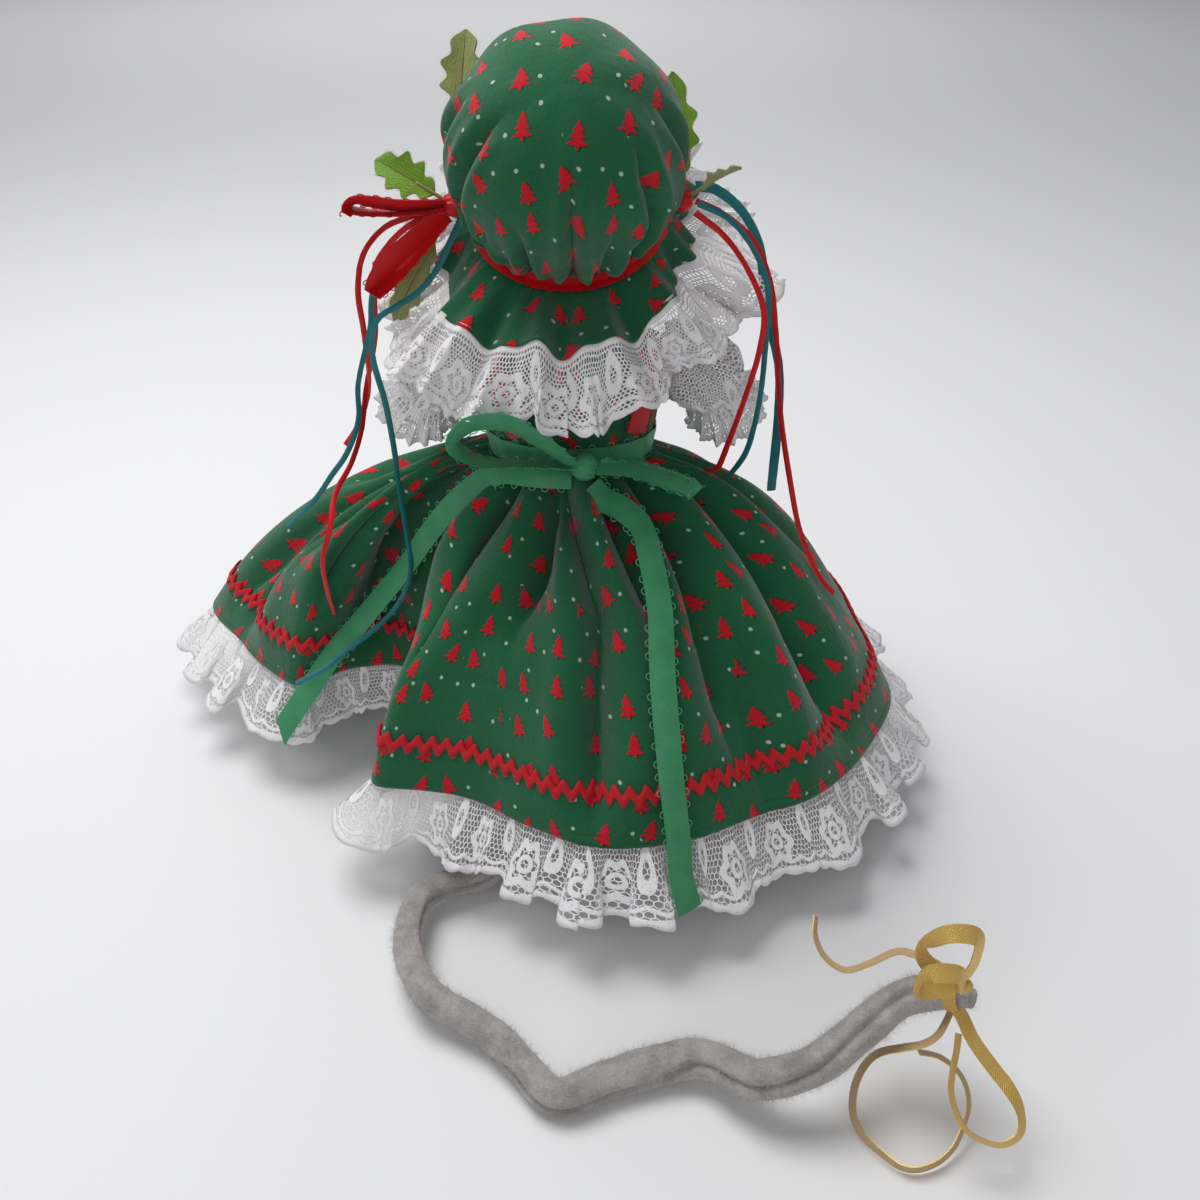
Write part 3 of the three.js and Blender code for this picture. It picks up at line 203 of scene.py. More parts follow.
# %% Lay a grid of cloth
def laid(columns, rows, place, flat, wrap=False, second=None, gore_of=None):
    """A grid with (0..1, 0..1) laid by place(u, v). flat(u, v) is its place on the flat cloth in mm.
    With gore_of(u, v), flat(u, v, gore) also gets the number of the gore that a face lies in."""
    bm = bmesh.new()
    bmesh.ops.create_grid(bm, x_segments=columns, y_segments=rows, size=0.5)
    uv = bm.loops.layers.uv.new("cloth")
    extra = bm.loops.layers.uv.new("edge") if second else None
    for face in bm.faces:
        centre = face.calc_center_median()
        gore = gore_of(centre.x + 0.5, centre.y + 0.5) if gore_of else 0
        for loop in face.loops:
            u, v = loop.vert.co.x + 0.5, loop.vert.co.y + 0.5
            loop[uv].uv = flat(u, v, gore) if gore_of else flat(u, v)
            if extra:
                loop[extra].uv = second(u, v)
    for vert in bm.verts:
        vert.co = place(vert.co.x + 0.5, vert.co.y + 0.5)
    if wrap:
        bmesh.ops.remove_doubles(bm, verts=bm.verts, dist=1e-3)
        bmesh.ops.recalc_face_normals(bm, faces=bm.faces)
    return bm


def close_ends(bm, face_out=True):
    """Fills the open ends of a rolled grid, and turns all its faces outwards."""
    bmesh.ops.holes_fill(bm, edges=[e for e in bm.edges if e.is_boundary], sides=0)
    if face_out:
        bmesh.ops.recalc_face_normals(bm, faces=bm.faces)


def tube(line, steps, sides, radius_at, start_up=(0, 0, 1)):
    """A round limb along a line, closed at both ends, made from a grid rolled round the line."""
    rings = []
    up = unit(start_up)
    for i in range(steps + 1):
        along = line.along(i / steps)
        up = unit(up - along * np.dot(up, along))
        rings.append((line.at(i / steps), up, np.cross(along, up)))
    length = line.length

    def place(u, v):
        i = int(round(v * steps))
        middle, one, two = rings[i]
        angle = 2 * math.pi * u
        radius = radius_at(i / steps, u)
        return Vector(middle + one * radius * math.cos(angle) + two * radius * math.sin(angle))

    around = 2 * math.pi * radius_at(0.5, 0)
    bm = laid(sides, steps, place, lambda u, v: (u * around, v * length), wrap=True)
    close_ends(bm)
    return bm


def strips(count, across, along, place):
    """Many narrow strips from one grid, whose linking faces are taken out. place(k, u, v) lays strip k."""
    bm = bmesh.new()
    columns = count * (across + 1) - 1
    bmesh.ops.create_grid(bm, x_segments=columns, y_segments=along, size=0.5)
    links = []
    for face in bm.faces:
        column = int((face.calc_center_median().x + 0.5) * columns)
        if column % (across + 1) == across:
            links.append(face)
    bmesh.ops.delete(bm, geom=links, context="FACES")
    for vert in bm.verts:
        column = round((vert.co.x + 0.5) * columns)
        vert.co = place(column // (across + 1), column % (across + 1) / across, vert.co.y + 0.5)
    return bm


print("cloth, tube and strip helpers are ready")

# %% [markdown]
# ## A small kit for materials
# Each finish is a graph of nodes. This helper makes the graphs shorter to write: it links what it is
# given, and sets what is a plain number on the socket itself.


# %% Material helper
class Finish:
    def __init__(self, name, roughness=0.8, specular=0.3, sheen=0.0, metallic=0.0):
        self.material = bpy.data.materials.new(name)
        self.material.use_nodes = True
        self.tree = self.material.node_tree
        self.shader = self.tree.nodes["Principled BSDF"]
        self.shader.inputs["Roughness"].default_value = roughness
        self.shader.inputs["Specular IOR Level"].default_value = specular
        self.shader.inputs["Metallic"].default_value = metallic
        self.shader.inputs["Sheen Weight"].default_value = sheen
        self.shader.inputs["Sheen Roughness"].default_value = 0.5

    def put(self, socket, value):
        if hasattr(value, "is_output"):
            self.tree.links.new(value, socket)
        else:
            socket.default_value = value

    def node(self, kind, out=0, settings=None, **inputs):
        made = self.tree.nodes.new("ShaderNode" + kind)
        for key, value in (settings or {}).items():
            setattr(made, key, value)
        for key, value in inputs.items():
            self.put(made.inputs[int(key[1:]) if key[1:].isdigit() else key.replace("_", " ")], value)
        return made.outputs[out]

    def math(self, operation, one, two=0.0, clamp=False):
        return self.node("Math", settings={"operation": operation, "use_clamp": clamp}, i0=one, i1=two)

    def plus(self, one, two):
        return self.math("ADD", one, two)

    def minus(self, one, two):
        return self.math("SUBTRACT", one, two)

    def times(self, one, two):
        return self.math("MULTIPLY", one, two)

    def most(self, one, two):
        return self.math("MAXIMUM", one, two)

    def size(self, value):
        return self.math("ABSOLUTE", value)

    def sine(self, value):
        return self.math("SINE", value)

    def vector(self, operation, one, two=(0, 0, 0), scale=1.0):
        made = self.tree.nodes.new("ShaderNodeVectorMath")
        made.operation = operation
        self.put(made.inputs[0], one)
        if operation == "SCALE":
            self.put(made.inputs["Scale"], scale)
        else:
            self.put(made.inputs[1], two)
        return made.outputs["Value" if operation in ("LENGTH", "DISTANCE", "DOT_PRODUCT") else "Vector"]

    def mix(self, share, one, two):
        made = self.tree.nodes.new("ShaderNodeMix")
        made.data_type = "RGBA"
        self.put(made.inputs[0], share)
        self.put(made.inputs[6], one)
        self.put(made.inputs[7], two)
        return made.outputs[2]

    def uv(self, layer="cloth"):
        return self.node("UVMap", settings={"uv_map": layer})

    def place(self):
        """The place in the object, in millimetres."""
        made = self.tree.nodes.new("ShaderNodeTexCoord")
        return self.vector("SCALE", made.outputs["Object"], scale=1000.0)

    def split(self, vector):
        made = self.tree.nodes.new("ShaderNodeSeparateXYZ")
        self.put(made.inputs[0], vector)
        return made.outputs[0], made.outputs[1], made.outputs[2]

    def noise(self, where, scale, detail=3.0, roughness=0.5):
        return self.node("TexNoise", Vector=where, Scale=scale, Detail=detail, Roughness=roughness)

    def smooth_step(self, value, low, high):
        made = self.tree.nodes.new("ShaderNodeMapRange")
        made.interpolation_type = "SMOOTHSTEP"
        self.put(made.inputs["Value"], value)
        made.inputs["From Min"].default_value = low
        made.inputs["From Max"].default_value = high
        return made.outputs[0]

    def bump(self, height, distance, strength=1.0):
        made = self.tree.nodes.new("ShaderNodeBump")
        made.inputs["Strength"].default_value = strength
        made.inputs["Distance"].default_value = distance * MM
        self.put(made.inputs["Height"], height)
        self.put(self.shader.inputs["Normal"], made.outputs[0])

    def colour(self, value):
        self.put(self.shader.inputs["Base Color"], value)


def shade(red, green, blue):
    """A colour as it is read off a screen, turned to the linear values that the nodes use."""
    linear = [x / 255 / 12.92 if x <= 10 else ((x / 255 + 0.055) / 1.055) ** 2.4 for x in (red, green, blue)]
    return (*linear, 1.0)


print("finishes are described with", len([m for m in dir(Finish) if not m.startswith("_")]), "helpers")

# %% [markdown]
# ## Printed cotton
# The frock and the cap are cut from one plain-woven cotton. Small red fir trees stand on it in loose
# rows, with white dots between them. A Voronoi texture scatters the places: each of its cells knows its
# own middle and a random colour, which turns the tree that is drawn there a little to one side.


# %% Printed cotton
TREE_SPACING, DOT_SPACING = 15.5, 9.5


def tree_mask(f, x, y):
    """A three-tier tree, about 8 mm tall, about its own middle."""
    across = f.size(x)
    whole = None
    for top, foot, half in ((4.0, 0.9, 1.9), (1.9, -1.0, 2.8), (-0.1, -3.0, 3.5)):
        slope = half / (top - foot)
        width = f.times(f.minus(top, y), slope)
        side = f.smooth_step(f.minus(width, across), -0.1, 0.3)
        above = f.smooth_step(f.minus(y, foot), -0.15, 0.25)
        tier = f.times(side, above)
        whole = tier if whole is None else f.most(whole, tier)
    trunk = f.times(f.math("LESS_THAN", across, 0.5), f.math("LESS_THAN", f.size(f.plus(y, 3.2)), 0.8))
    return f.most(whole, trunk)


def printed_cotton(name, stitch=None):
    f = Finish(name, roughness=0.9, specular=0.15, sheen=0.25)
    flat = f.uv()
    wobble = f.vector("SCALE", f.node("TexNoise", out=1, Vector=flat, Scale=0.9, Detail=1.0), scale=0.35)
    flat = f.vector("ADD", flat, wobble)
    scaled = f.vector("SCALE", flat, scale=1 / TREE_SPACING)
    cells = f.tree.nodes.new("ShaderNodeTexVoronoi")
    cells.voronoi_dimensions = "2D"
    cells.feature = "F1"
    f.put(cells.inputs["Vector"], scaled)
    cells.inputs["Scale"].default_value = 1.0
    cells.inputs["Randomness"].default_value = 0.5
    local = f.vector("SCALE", f.vector("SUBTRACT", scaled, cells.outputs["Position"]), scale=TREE_SPACING)
    turn = f.times(f.minus(f.split(cells.outputs["Color"])[0], 0.5), 0.8)
    turned = f.node("VectorRotate", settings={"rotation_type": "Z_AXIS"}, Vector=local, Angle=turn)
    x, y, _ = f.split(turned)
    tree = tree_mask(f, x, y)
    behind = tree_mask(f, f.minus(x, 0.6), f.plus(y, 0.3))
    dots = f.tree.nodes.new("ShaderNodeTexVoronoi")
    dots.voronoi_dimensions = "2D"
    f.put(dots.inputs["Vector"], f.vector("SCALE", flat, scale=1 / DOT_SPACING))
    dots.inputs["Scale"].default_value = 1.0
    dots.inputs["Randomness"].default_value = 0.75
    dot = f.smooth_step(f.times(dots.outputs["Distance"], DOT_SPACING), 0.85, 0.5)
    far = f.smooth_step(f.vector("LENGTH", local), 4.2, 4.8)
    shown = f.math("GREATER_THAN", f.split(dots.outputs["Color"])[1], 0.42)
    dot = f.times(f.times(dot, far), shown)
    patch = f.noise(flat, 0.03, 2.0)
    thread = f.noise(flat, 1.7, 2.0)
    ground = f.mix(patch, shade(12, 72, 42), shade(24, 96, 58))
    ground = f.mix(f.times(thread, 0.3), ground, shade(66, 144, 104))
    cloth = f.mix(f.times(behind, 0.8), ground, shade(4, 30, 18))
    cloth = f.mix(tree, cloth, f.mix(thread, shade(186, 8, 26), shade(218, 26, 44)))
    cloth = f.mix(f.times(dot, 0.8), cloth, shade(196, 214, 200))
    f.colour(cloth)
    u, v, _ = f.split(flat)
    warp = f.sine(f.times(u, 14.0))
    weft = f.sine(f.times(v, 14.0))
    weave = f.times(warp, weft)
    crumple = f.noise(flat, 0.16, 4.0, 0.6)
    height = f.plus(f.times(weave, 0.05), f.times(crumple, 1.4))
    if stitch is not None:
        line = f.size(f.minus(v, stitch))
        groove = f.smooth_step(line, 0.7, 0.1)
        height = f.minus(height, f.times(groove, 0.8))
    f.bump(height, 1.0, 0.5)
    return f.material


SKIRT_LENGTH = 132.0
frock_cotton = printed_cotton("printed cotton")
skirt_cotton = printed_cotton("printed cotton of the skirt", stitch=3.5)
print("the trees stand about every", TREE_SPACING, "mm")

# %% [markdown]
# ## Lace
# Machine lace is a net of hexagons with denser flowers, and a scalloped edge with a cord along it. The
# net is drawn as holes in one sheet: a hexagon's edge is found from the distance to the nearer of two
# offset lattices. Only the outline is cut in the mesh itself, because there it shows against the floor.


# %% Lace
def hexagon_threads(f, flat, cell, thread):
    """1 on the net's threads, 0 in its holes."""
    size = (cell, cell * math.sqrt(3), 1.0)
    half = (cell / 2, cell * math.sqrt(3) / 2, 0.5)
    spread = f.vector("ADD", flat, (5000.0 * cell, 5000.0 * cell * math.sqrt(3), 0.0))
    one = f.vector("SUBTRACT", f.vector("MODULO", spread, size), half)
    two = f.vector("SUBTRACT", f.vector("MODULO", f.vector("ADD", spread, half), size), half)
    edges = []
    for where in (one, two):
        x, y, _ = f.split(f.vector("ABSOLUTE", where))
        slanted = f.plus(f.times(x, 0.5), f.times(y, 0.8660254))
        edges.append(f.most(x, slanted))
    inside = f.minus(cell / 2, f.math("MINIMUM", *edges))
    return f.smooth_step(inside, thread * 0.62, thread * 0.38)


def lace_finish(name, period=36.0, flower_at=12.0, cell=2.1, thread=0.3):
    f = Finish(name, roughness=0.8, specular=0.15, sheen=0.1)
    flat = f.uv()
    edge = f.uv("edge")
    u, v, _ = f.split(flat)
    _, from_edge, _ = f.split(edge)
    wander = f.vector("SCALE", f.node("TexNoise", out=1, Vector=flat, Scale=0.25, Detail=1.0), scale=0.9)
    net = hexagon_threads(f, f.vector("ADD", flat, wander), cell, thread)
    along = f.minus(f.math("MODULO", f.plus(u, 1000.0 * period), period), period / 2)
    away = f.minus(from_edge, flower_at)
    reach = f.math("SQRT", f.plus(f.math("POWER", along, 2.0), f.math("POWER", away, 2.0)))
    angle = f.math("ARCTAN2", away, along)
    petals = f.times(f.math("COSINE", f.times(angle, 6.0)), 0.9)
    ring = f.smooth_step(f.size(f.minus(f.minus(reach, 6.0), petals)), 1.7, 1.3)
    heart = f.smooth_step(f.size(f.minus(reach, 2.2)), 1.0, 0.7)
    side = f.minus(f.size(along), period / 2)
    leaf = f.plus(f.math("POWER", f.math("DIVIDE", side, 3.2), 2.0),
                  f.math("POWER", f.math("DIVIDE", f.minus(from_edge, flower_at + 5.0), 6.5), 2.0))
    leaf = f.smooth_step(f.size(f.minus(leaf, 0.7)), 0.6, 0.4)
    wave = f.times(f.size(f.sine(f.times(u, math.pi / 9.0))), 1.3)
    cord = f.smooth_step(f.minus(from_edge, wave), 2.3, 1.7)
    second = f.smooth_step(f.size(f.minus(f.plus(from_edge, wave), 6.0)), 0.9, 0.55)
    top = f.smooth_step(v, 2.4, 1.8)
    dense = f.most(f.most(ring, heart), f.most(leaf, second))
    dense = f.most(dense, f.most(cord, top))
    pin = f.node("TexVoronoi", Vector=flat, Scale=1.15, Randomness=0.4)
    pricked = f.times(dense, f.smooth_step(pin, 0.12, 0.2))
    holes = f.most(pricked, net)
    f.put(f.shader.inputs["Alpha"], f.math("ADD", holes, 0.07, clamp=True))
    dirt = f.noise(flat, 0.06, 2.0)
    f.colour(f.mix(dirt, shade(238, 235, 237), shade(248, 246, 247)))
    stitches = f.noise(flat, 2.6, 1.0)
    f.bump(f.plus(f.times(dense, 0.5), f.times(stitches, 0.3)), 0.5, 0.6)
    return f.material


hem_lace_finish = lace_finish("hem lace")
brim_lace_finish = lace_finish("brim lace", period=24.0, flower_at=11.0, cell=1.5, thread=0.42)
sleeve_lace_finish = lace_finish("sleeve lace", period=22.0, flower_at=10.0, cell=1.4, thread=0.46)
print("the net's holes are 2.1 mm across")

# %% [markdown]
# ## Satin, gold ribbon, felt, leaves, wire and beads
# Satin shows its threads along the ribbon and shines across them, so its colour varies in fine long
# streaks that are thread streaks and painted sheen at once, with broad patches of painted fold shade.
# Gold ribbon is a coarse metal weave with a dull tan back, and its face has painted glints. Felt has no
# threads: it is all cloudy fibres, so two noises of different sizes make its colour and its bump.


# %% Ribbons
def satin(name, dark, light, roughness=0.42):
    f = Finish(name, roughness=roughness, specular=0.35, sheen=0.05)
    flat = f.uv()
    v = f.split(flat)[1]
    # Painted sheen and painted fold shade: the long streaks stand for the threads and for the satin's shine
    # across them, and the broad fold noise is painted fold shade; together they move the colour between a
    # shaded and a lit tone.
    thread_and_sheen_streak = f.noise(f.vector("MULTIPLY", flat, (9.0, 0.35, 1.0)), 1.0, 2.0)
    fold = f.noise(flat, 0.12, 2.0)
    shown = f.mix(f.times(f.plus(thread_and_sheen_streak, fold), 0.5), dark, light)
    f.colour(shown)
    ribs = f.sine(f.times(v, 11.0))
    f.bump(f.plus(f.times(ribs, 0.08), f.times(thread_and_sheen_streak, 0.25)), 0.35, 0.5)
    return f.material


# Each satin gets a shaded tone and a lit tone, and its painted sheen and painted fold shade move its colour
# between them.
green_satin = satin("green satin", shade(30, 114, 70), shade(82, 168, 118))
green_thread = satin("green thread", shade(40, 128, 84), shade(104, 182, 138), 0.6)
red_satin = satin("red satin", shade(170, 0, 8), shade(222, 10, 20))
red_thread = satin("red thread", shade(190, 6, 16), shade(228, 44, 48), 0.6)
teal_satin = satin("teal satin", shade(8, 84, 92), shade(36, 136, 142))
braid_red = satin("zigzag braid", shade(168, 2, 18), shade(220, 24, 42), 0.7)


def gold_weave(name, back=False):
    if back:
        f = Finish(name, roughness=0.6, specular=0.4)
        flat = f.uv()
        rough = f.noise(flat, 1.2, 2.0)
        f.colour(f.mix(rough, shade(176, 142, 96), shade(212, 184, 142)))
        f.bump(rough, 0.3, 0.4)
        return f.material
    f = Finish(name, roughness=0.34, specular=0.6, metallic=0.75)
    flat = f.uv()
    u, v, _ = f.split(flat)
    one = f.sine(f.times(f.plus(u, v), 7.0))
    two = f.sine(f.times(f.minus(u, v), 7.0))
    weave = f.times(f.plus(one, two), 0.25)
    weave = f.plus(weave, 0.5)
    # Painted glints: this noise lightens the gold at random spots, as a painted highlight on top of the
    # weave's pattern.
    painted_glint = f.noise(flat, 2.2, 2.0)
    f.colour(f.mix(f.times(f.plus(weave, painted_glint), 0.5), shade(196, 138, 40), shade(255, 228, 140)))
    f.bump(weave, 0.35, 0.7)
    return f.material


gold_face = gold_weave("gold ribbon face")
gold_back = gold_weave("gold ribbon back", back=True)


# %% Felt, leaves, wire, beads
def felt_finish(name, dark, light):
    f = Finish(name, roughness=0.95, specular=0.15, sheen=0.5)
    where = f.place()
    cloud = f.noise(where, 0.12, 3.0, 0.6)
    fibre = f.noise(where, 1.3, 4.0, 0.7)
    blend = f.plus(f.times(cloud, 0.55), f.times(fibre, 0.45))
    f.colour(f.mix(f.smooth_step(blend, 0.3, 0.7), dark, light))
    f.bump(f.plus(fibre, f.times(cloud, 0.6)), 0.8, 0.7)
    return f.material


grey_felt = felt_finish("grey felt", shade(140, 134, 131), shade(192, 187, 184))
fibre_felt = felt_finish("grey felt fibres", shade(176, 172, 169), shade(216, 212, 209))
pink_felt = felt_finish("pink felt", shade(214, 150, 144), shade(236, 184, 176))
sole_felt = felt_finish("sole felt", shade(92, 86, 82), shade(120, 113, 108))


def leaf_finish(name, dark, light):
    f = Finish(name, roughness=0.7, specular=0.3, sheen=0.3)
    flat = f.uv()
    u, v, _ = f.split(flat)
    beside = f.size(u)
    vein = f.smooth_step(beside, 0.05, 0.02)
    ribs = f.sine(f.times(f.minus(v, beside), 34.0))
    rib = f.smooth_step(ribs, 0.86, 0.97)
    cloth = f.noise(f.place(), 1.4, 3.0)
    body = f.mix(cloth, dark, light)
    body = f.mix(f.times(rib, 0.4), body, shade(60, 70, 20))
    f.colour(f.mix(vein, body, shade(96, 74, 40)))
    f.bump(f.plus(f.times(ribs, 0.12), cloth), 0.4, 0.6)
    return f.material


bright_leaf = leaf_finish("bright leaf", shade(84, 134, 22), shade(126, 172, 44))
olive_leaf = leaf_finish("olive leaf", shade(112, 122, 58), shade(154, 160, 96))
cream_fuzz = felt_finish("cream fuzz", shade(214, 204, 170), shade(240, 234, 208))


def plain_finish(name, colour, roughness, metallic=0.0, coat=0.0):
    f = Finish(name, roughness=roughness, specular=0.5, metallic=metallic)
    f.shader.inputs["Coat Weight"].default_value = coat
    where = f.place()
    scratch = f.noise(f.vector("MULTIPLY", where, (1.0, 1.0, 6.0)), 1.5, 3.0)
    dark = tuple(c * 0.8 for c in colour[:3]) + (1.0,)
    f.colour(f.mix(scratch, dark, colour))
    f.bump(scratch, 0.05, 0.3)
    return f.material


steel_wire = plain_finish("drawn steel wire", shade(150, 150, 152), 0.35, metallic=1.0)
black_bead = plain_finish("black glass bead", shade(14, 14, 16), 0.12, coat=0.6)
nose_felt = felt_finish("nose felt", shade(198, 110, 112), shade(222, 140, 138))
whisker_thread = plain_finish("whisker thread", shade(52, 48, 46), 0.6)
print(len(bpy.data.materials), "finishes")

# %% [markdown]
# ## The doll's own surfaces
# The cloth is laid over the same shapes that the rigid frame was built from: an oval body that climbs
# from the hips to the neck, a skirt that swings from the waist to a drawn hem, and a cap whose
# axis leans back from the head. The tables are shares of a few measured sizes in millimetres.

# %% Body, skirt and cap surfaces
WAIST, SHOULDER, NECK, HIP = 150.0, 188.0, 217.0, 88.0
BODY_LEVELS = [98.8, WAIST, SHOULDER, NECK]
BODY_SHARES = [(0, 0.6, 0.56), (0.08, 0.84, 0.82), (0.3, 1, 1), (0.6, 0.97, 0.98), (1, 0.82, 0.84),
               (1.45, 0.9, 0.88), (2, 0.97, 0.84), (2.22, 0.84, 0.74), (2.45, 0.52, 0.58), (2.65, 0.36, 0.48),
               (3, 0.34, 0.46)]
HEM_RADIUS, SKIRT_DROP, HEM_HEIGHT = 130.0, 105.0, 45.0
HEM_SHARES = [(0.05, -0.82), (0.36, -0.79), (0.72, -0.6), (0.93, -0.38), (1.01, -0.15), (0.97, 0.18),
              (0.92, 0.48), (0.7, 0.74), (0.38, 0.86), (0.1, 0.98), (-0.23, 0.93), (-0.48, 0.92),
              (-0.8, 0.82), (-1.08, 0.66), (-1.28, 0.4), (-1.15, 0.15), (-0.9, -0.11), (-0.74, 0),
              (-0.57, 0.03), (-0.45, -0.1), (-0.48, -0.34), (-0.58, -0.57), (-0.33, -0.63), (-0.11, -0.75)]
BELL_SHARES = [(0, 0.45), (0.2, 0.35), (0.5, 0.4), (0.6, 0.35), (0.67, 0.4), (0.74, 0.8), (0.84, 0.5),
               (1, 0.45)]
BODICE_OUT, SKIRT_TOP_OUT = 2.4, 3.9
hem_line = Line([(HEM_RADIUS * x, HEM_RADIUS * y, HEM_HEIGHT) for x, y in HEM_SHARES], closed=True)


def body_half(level):
    return (33.0 * from_table([(a, w) for a, w, _ in BODY_SHARES], level),
            23.0 * from_table([(a, d) for a, _, d in BODY_SHARES], level))


def body_point(level, turn, outside):
    wide, deep = body_half(level)
    span = min(int(level), 2)
    height = BODY_LEVELS[span] + (BODY_LEVELS[span + 1] - BODY_LEVELS[span]) * (level - span)
    angle = 2 * math.pi * turn
    return np.array([(wide + outside) * math.sin(angle), -(deep + outside) * math.cos(angle), height])


def skirt_point(turn, down):
    turn = turn % 1.0
    bell = from_table(BELL_SHARES, turn)
    quarter = math.pi * down / 2
    out = down + (math.sin(quarter) - down) * bell
    fall = down + (1 - math.cos(quarter) - down) * bell
    point = body_point(1, turn, SKIRT_TOP_OUT) * (1 - out) + hem_line.at(turn) * out
    point[2] = WAIST - SKIRT_DROP * fall
    return point


def skirt_normal(turn, down):
    step = 1e-3
    low = min(1.0, down + step)
    across = skirt_point(turn + step, down) - skirt_point(turn - step, down)
    fall = skirt_point(turn, low) - skirt_point(turn, low - 2 * step)
    return unit(np.cross(fall, across))


HEAD_CENTRE = np.array([0.0, 2.0, 246.0])
HEAD_RADIUS = 33.0
TILT = math.radians(40)
CAP_AXIS = np.array([0.0, -math.cos(TILT), math.sin(TILT)])
FOREHEAD = np.array([0.0, math.sin(TILT), math.cos(TILT)])
CAP_CENTRE = HEAD_CENTRE + CAP_AXIS * 6.8
CAP_RADIUS, CROWN_RADIUS, CROWN_ABOVE, CROWN_LIFT = 34.6, 38.5, 14.3, 3.0
BRIM_TURNS = [(0, -0.24), (0.06, -0.13), (0.125, 0.11), (0.16, 0.55), (0.2, 0.74), (0.25, 0.8), (0.38, 0.78),
              (0.5, 0.67)]
LACE_TURNS = [(0, 0.32), (0.08, 0.28), (0.125, 0.21), (0.2, 0.2), (0.25, 0.16), (0.3, 0.4), (0.38, 0.7),
              (0.5, 0.67)]
LACE_TURNS_LEFT = [(0, 0.32), (0.08, 0.24), (0.125, 0.14), (0.17, 0.2), (0.2, 0.42), (0.25, 0.6), (0.38, 0.7),
                   (0.5, 0.67)]


def cap_out(turn):
    angle = 2 * math.pi * turn
    return -FOREHEAD * math.cos(angle) + np.array([math.sin(angle), 0, 0])


def cap_point(turn, radius, behind):
    return CAP_CENTRE + cap_out(turn) * radius + CAP_AXIS * behind


def brim_way(table, turn, further=0.0):
    turn = turn % 1.0
    angle = math.pi / 2 * (from_table(table, min(turn, 1 - turn)) + further)
    return cap_out(turn) * math.cos(angle) - CAP_AXIS * math.sin(angle)


print("hem", round(hem_line.length), "mm round")

# %% [markdown]
# ## Cords: streamers, sash ends and gold ends
# Each free ribbon is laid along its own line, and its width turns a little on the way, as a real
# ribbon does. A picot ribbon has small loops of thread along both edges, which are made as arcs.


# %% Ribbons along lines
PICOT_RIBBON, PICOT_SPACING, PICOT_REACH, PICOT_THREAD = 9.2, 5.8, 1.15, 0.24
NARROW_STREAMER, WIDE_STREAMER, GOLD_RIBBON = 2.1, 3.6, 4.4
COTTON, LACE, RIBBON, THIN_RIBBON = 0.55, 0.35, 0.4, 0.3


def ribbon_frames(line, steps, face, twist=None):
    """Places along a ribbon: middle, way across and the way its face looks."""
    out = []
    for i in range(steps + 1):
        share = i / steps
        along = line.along(share)
        across = face(share, line.at(share), along) if callable(face) else unit(np.cross(along, face))
        look = np.cross(across, along)
        if twist:
            angle = math.radians(twist(share))
            turned = across * math.cos(angle) + look * math.sin(angle)
            look = look * math.cos(angle) - across * math.sin(angle)
            across = turned
        out.append((line.at(share), across, look))
    return out


def turned_from_sight(angle_at):
    """A ribbon's way across, turned by this angle from the line of sight: at 0 only its edge is seen."""
    def across(share, point, along):
        sight = CAMERA_AT - point
        sight = unit(sight - along * np.dot(sight, along))
        angle = math.radians(angle_at(share))
        return sight * math.cos(angle) + np.cross(along, sight) * math.sin(angle)

    return across


def ribbon_mesh(line, steps, width, face, twist=None, cup=0.0, ripple=0.0, across_count=3, cut=(0.0, 0.0)):
    frames = ribbon_frames(line, steps, face, twist)
    length = line.length

    def place(u, v):
        i = int(round(v * steps))
        middle, across, look = frames[i]
        half = (u - 0.5) * width
        lift = cup * (1 - (2 * u - 1) ** 2) + ripple * math.sin(v * length * 0.9 + 5 * u)
        slant = 0.0
        if cut[1] and v > 0.995:
            slant = cut[1] * (u - 0.5)
        if cut[0] and v < 0.005:
            slant = cut[0] * (u - 0.5)
        return Vector(middle + across * half + look * lift + line.along(v) * slant)

    return laid(across_count, steps, place, lambda u, v: ((u - 0.5) * width, v * length))


def picot_loops(frames, spacing, length):
    """Small thread loops along both edges of a ribbon, as one mesh."""
    count = max(1, int(length / spacing))
    steps = len(frames) - 1
    half = spacing * 0.2
    edge = PICOT_RIBBON / 2

    def place(k, u, v):
        side = -1 if k % 2 else 1
        where = min(0.999, (k // 2 + 0.5 + 0.18 * math.sin(k * 2.3)) / count) * steps
        i = int(where)
        middle = frames[i][0] + (frames[i + 1][0] - frames[i][0]) * (where - i)
        along = unit(frames[i + 1][0] - frames[i][0])
        out = frames[i][1] * side
        arc = math.pi * v
        centre = middle + out * (edge + PICOT_REACH * math.sin(arc)) + along * half * math.cos(arc)
        aside = unit(along * math.cos(arc) / half + out * math.sin(arc) / PICOT_REACH)
        around = 2 * math.pi * u
        return Vector(centre + (aside * math.cos(around) + frames[i][2] * math.sin(around)) * PICOT_THREAD)

    return strips(2 * count, 3, 6, place)


def picot_ribbon(name, line, steps, face, body, finish, thread, twist, cup, ripple, replaced,
                 cut=(0.0, 0.0)):
    bm = ribbon_mesh(line, steps, PICOT_RIBBON, face, twist, cup, ripple, across_count=4, cut=cut)
    band = make_piece(name, bm, body, finish, replaces=replaced)
    thicken(band, RIBBON, crisp=True)
    loops = picot_loops(ribbon_frames(line, steps, face, twist), PICOT_SPACING, line.length)
    edge = make_piece(name + "_picots", loops, None, thread)
    edge.parent = band
    return band, edge


print("ribbon helpers are ready")

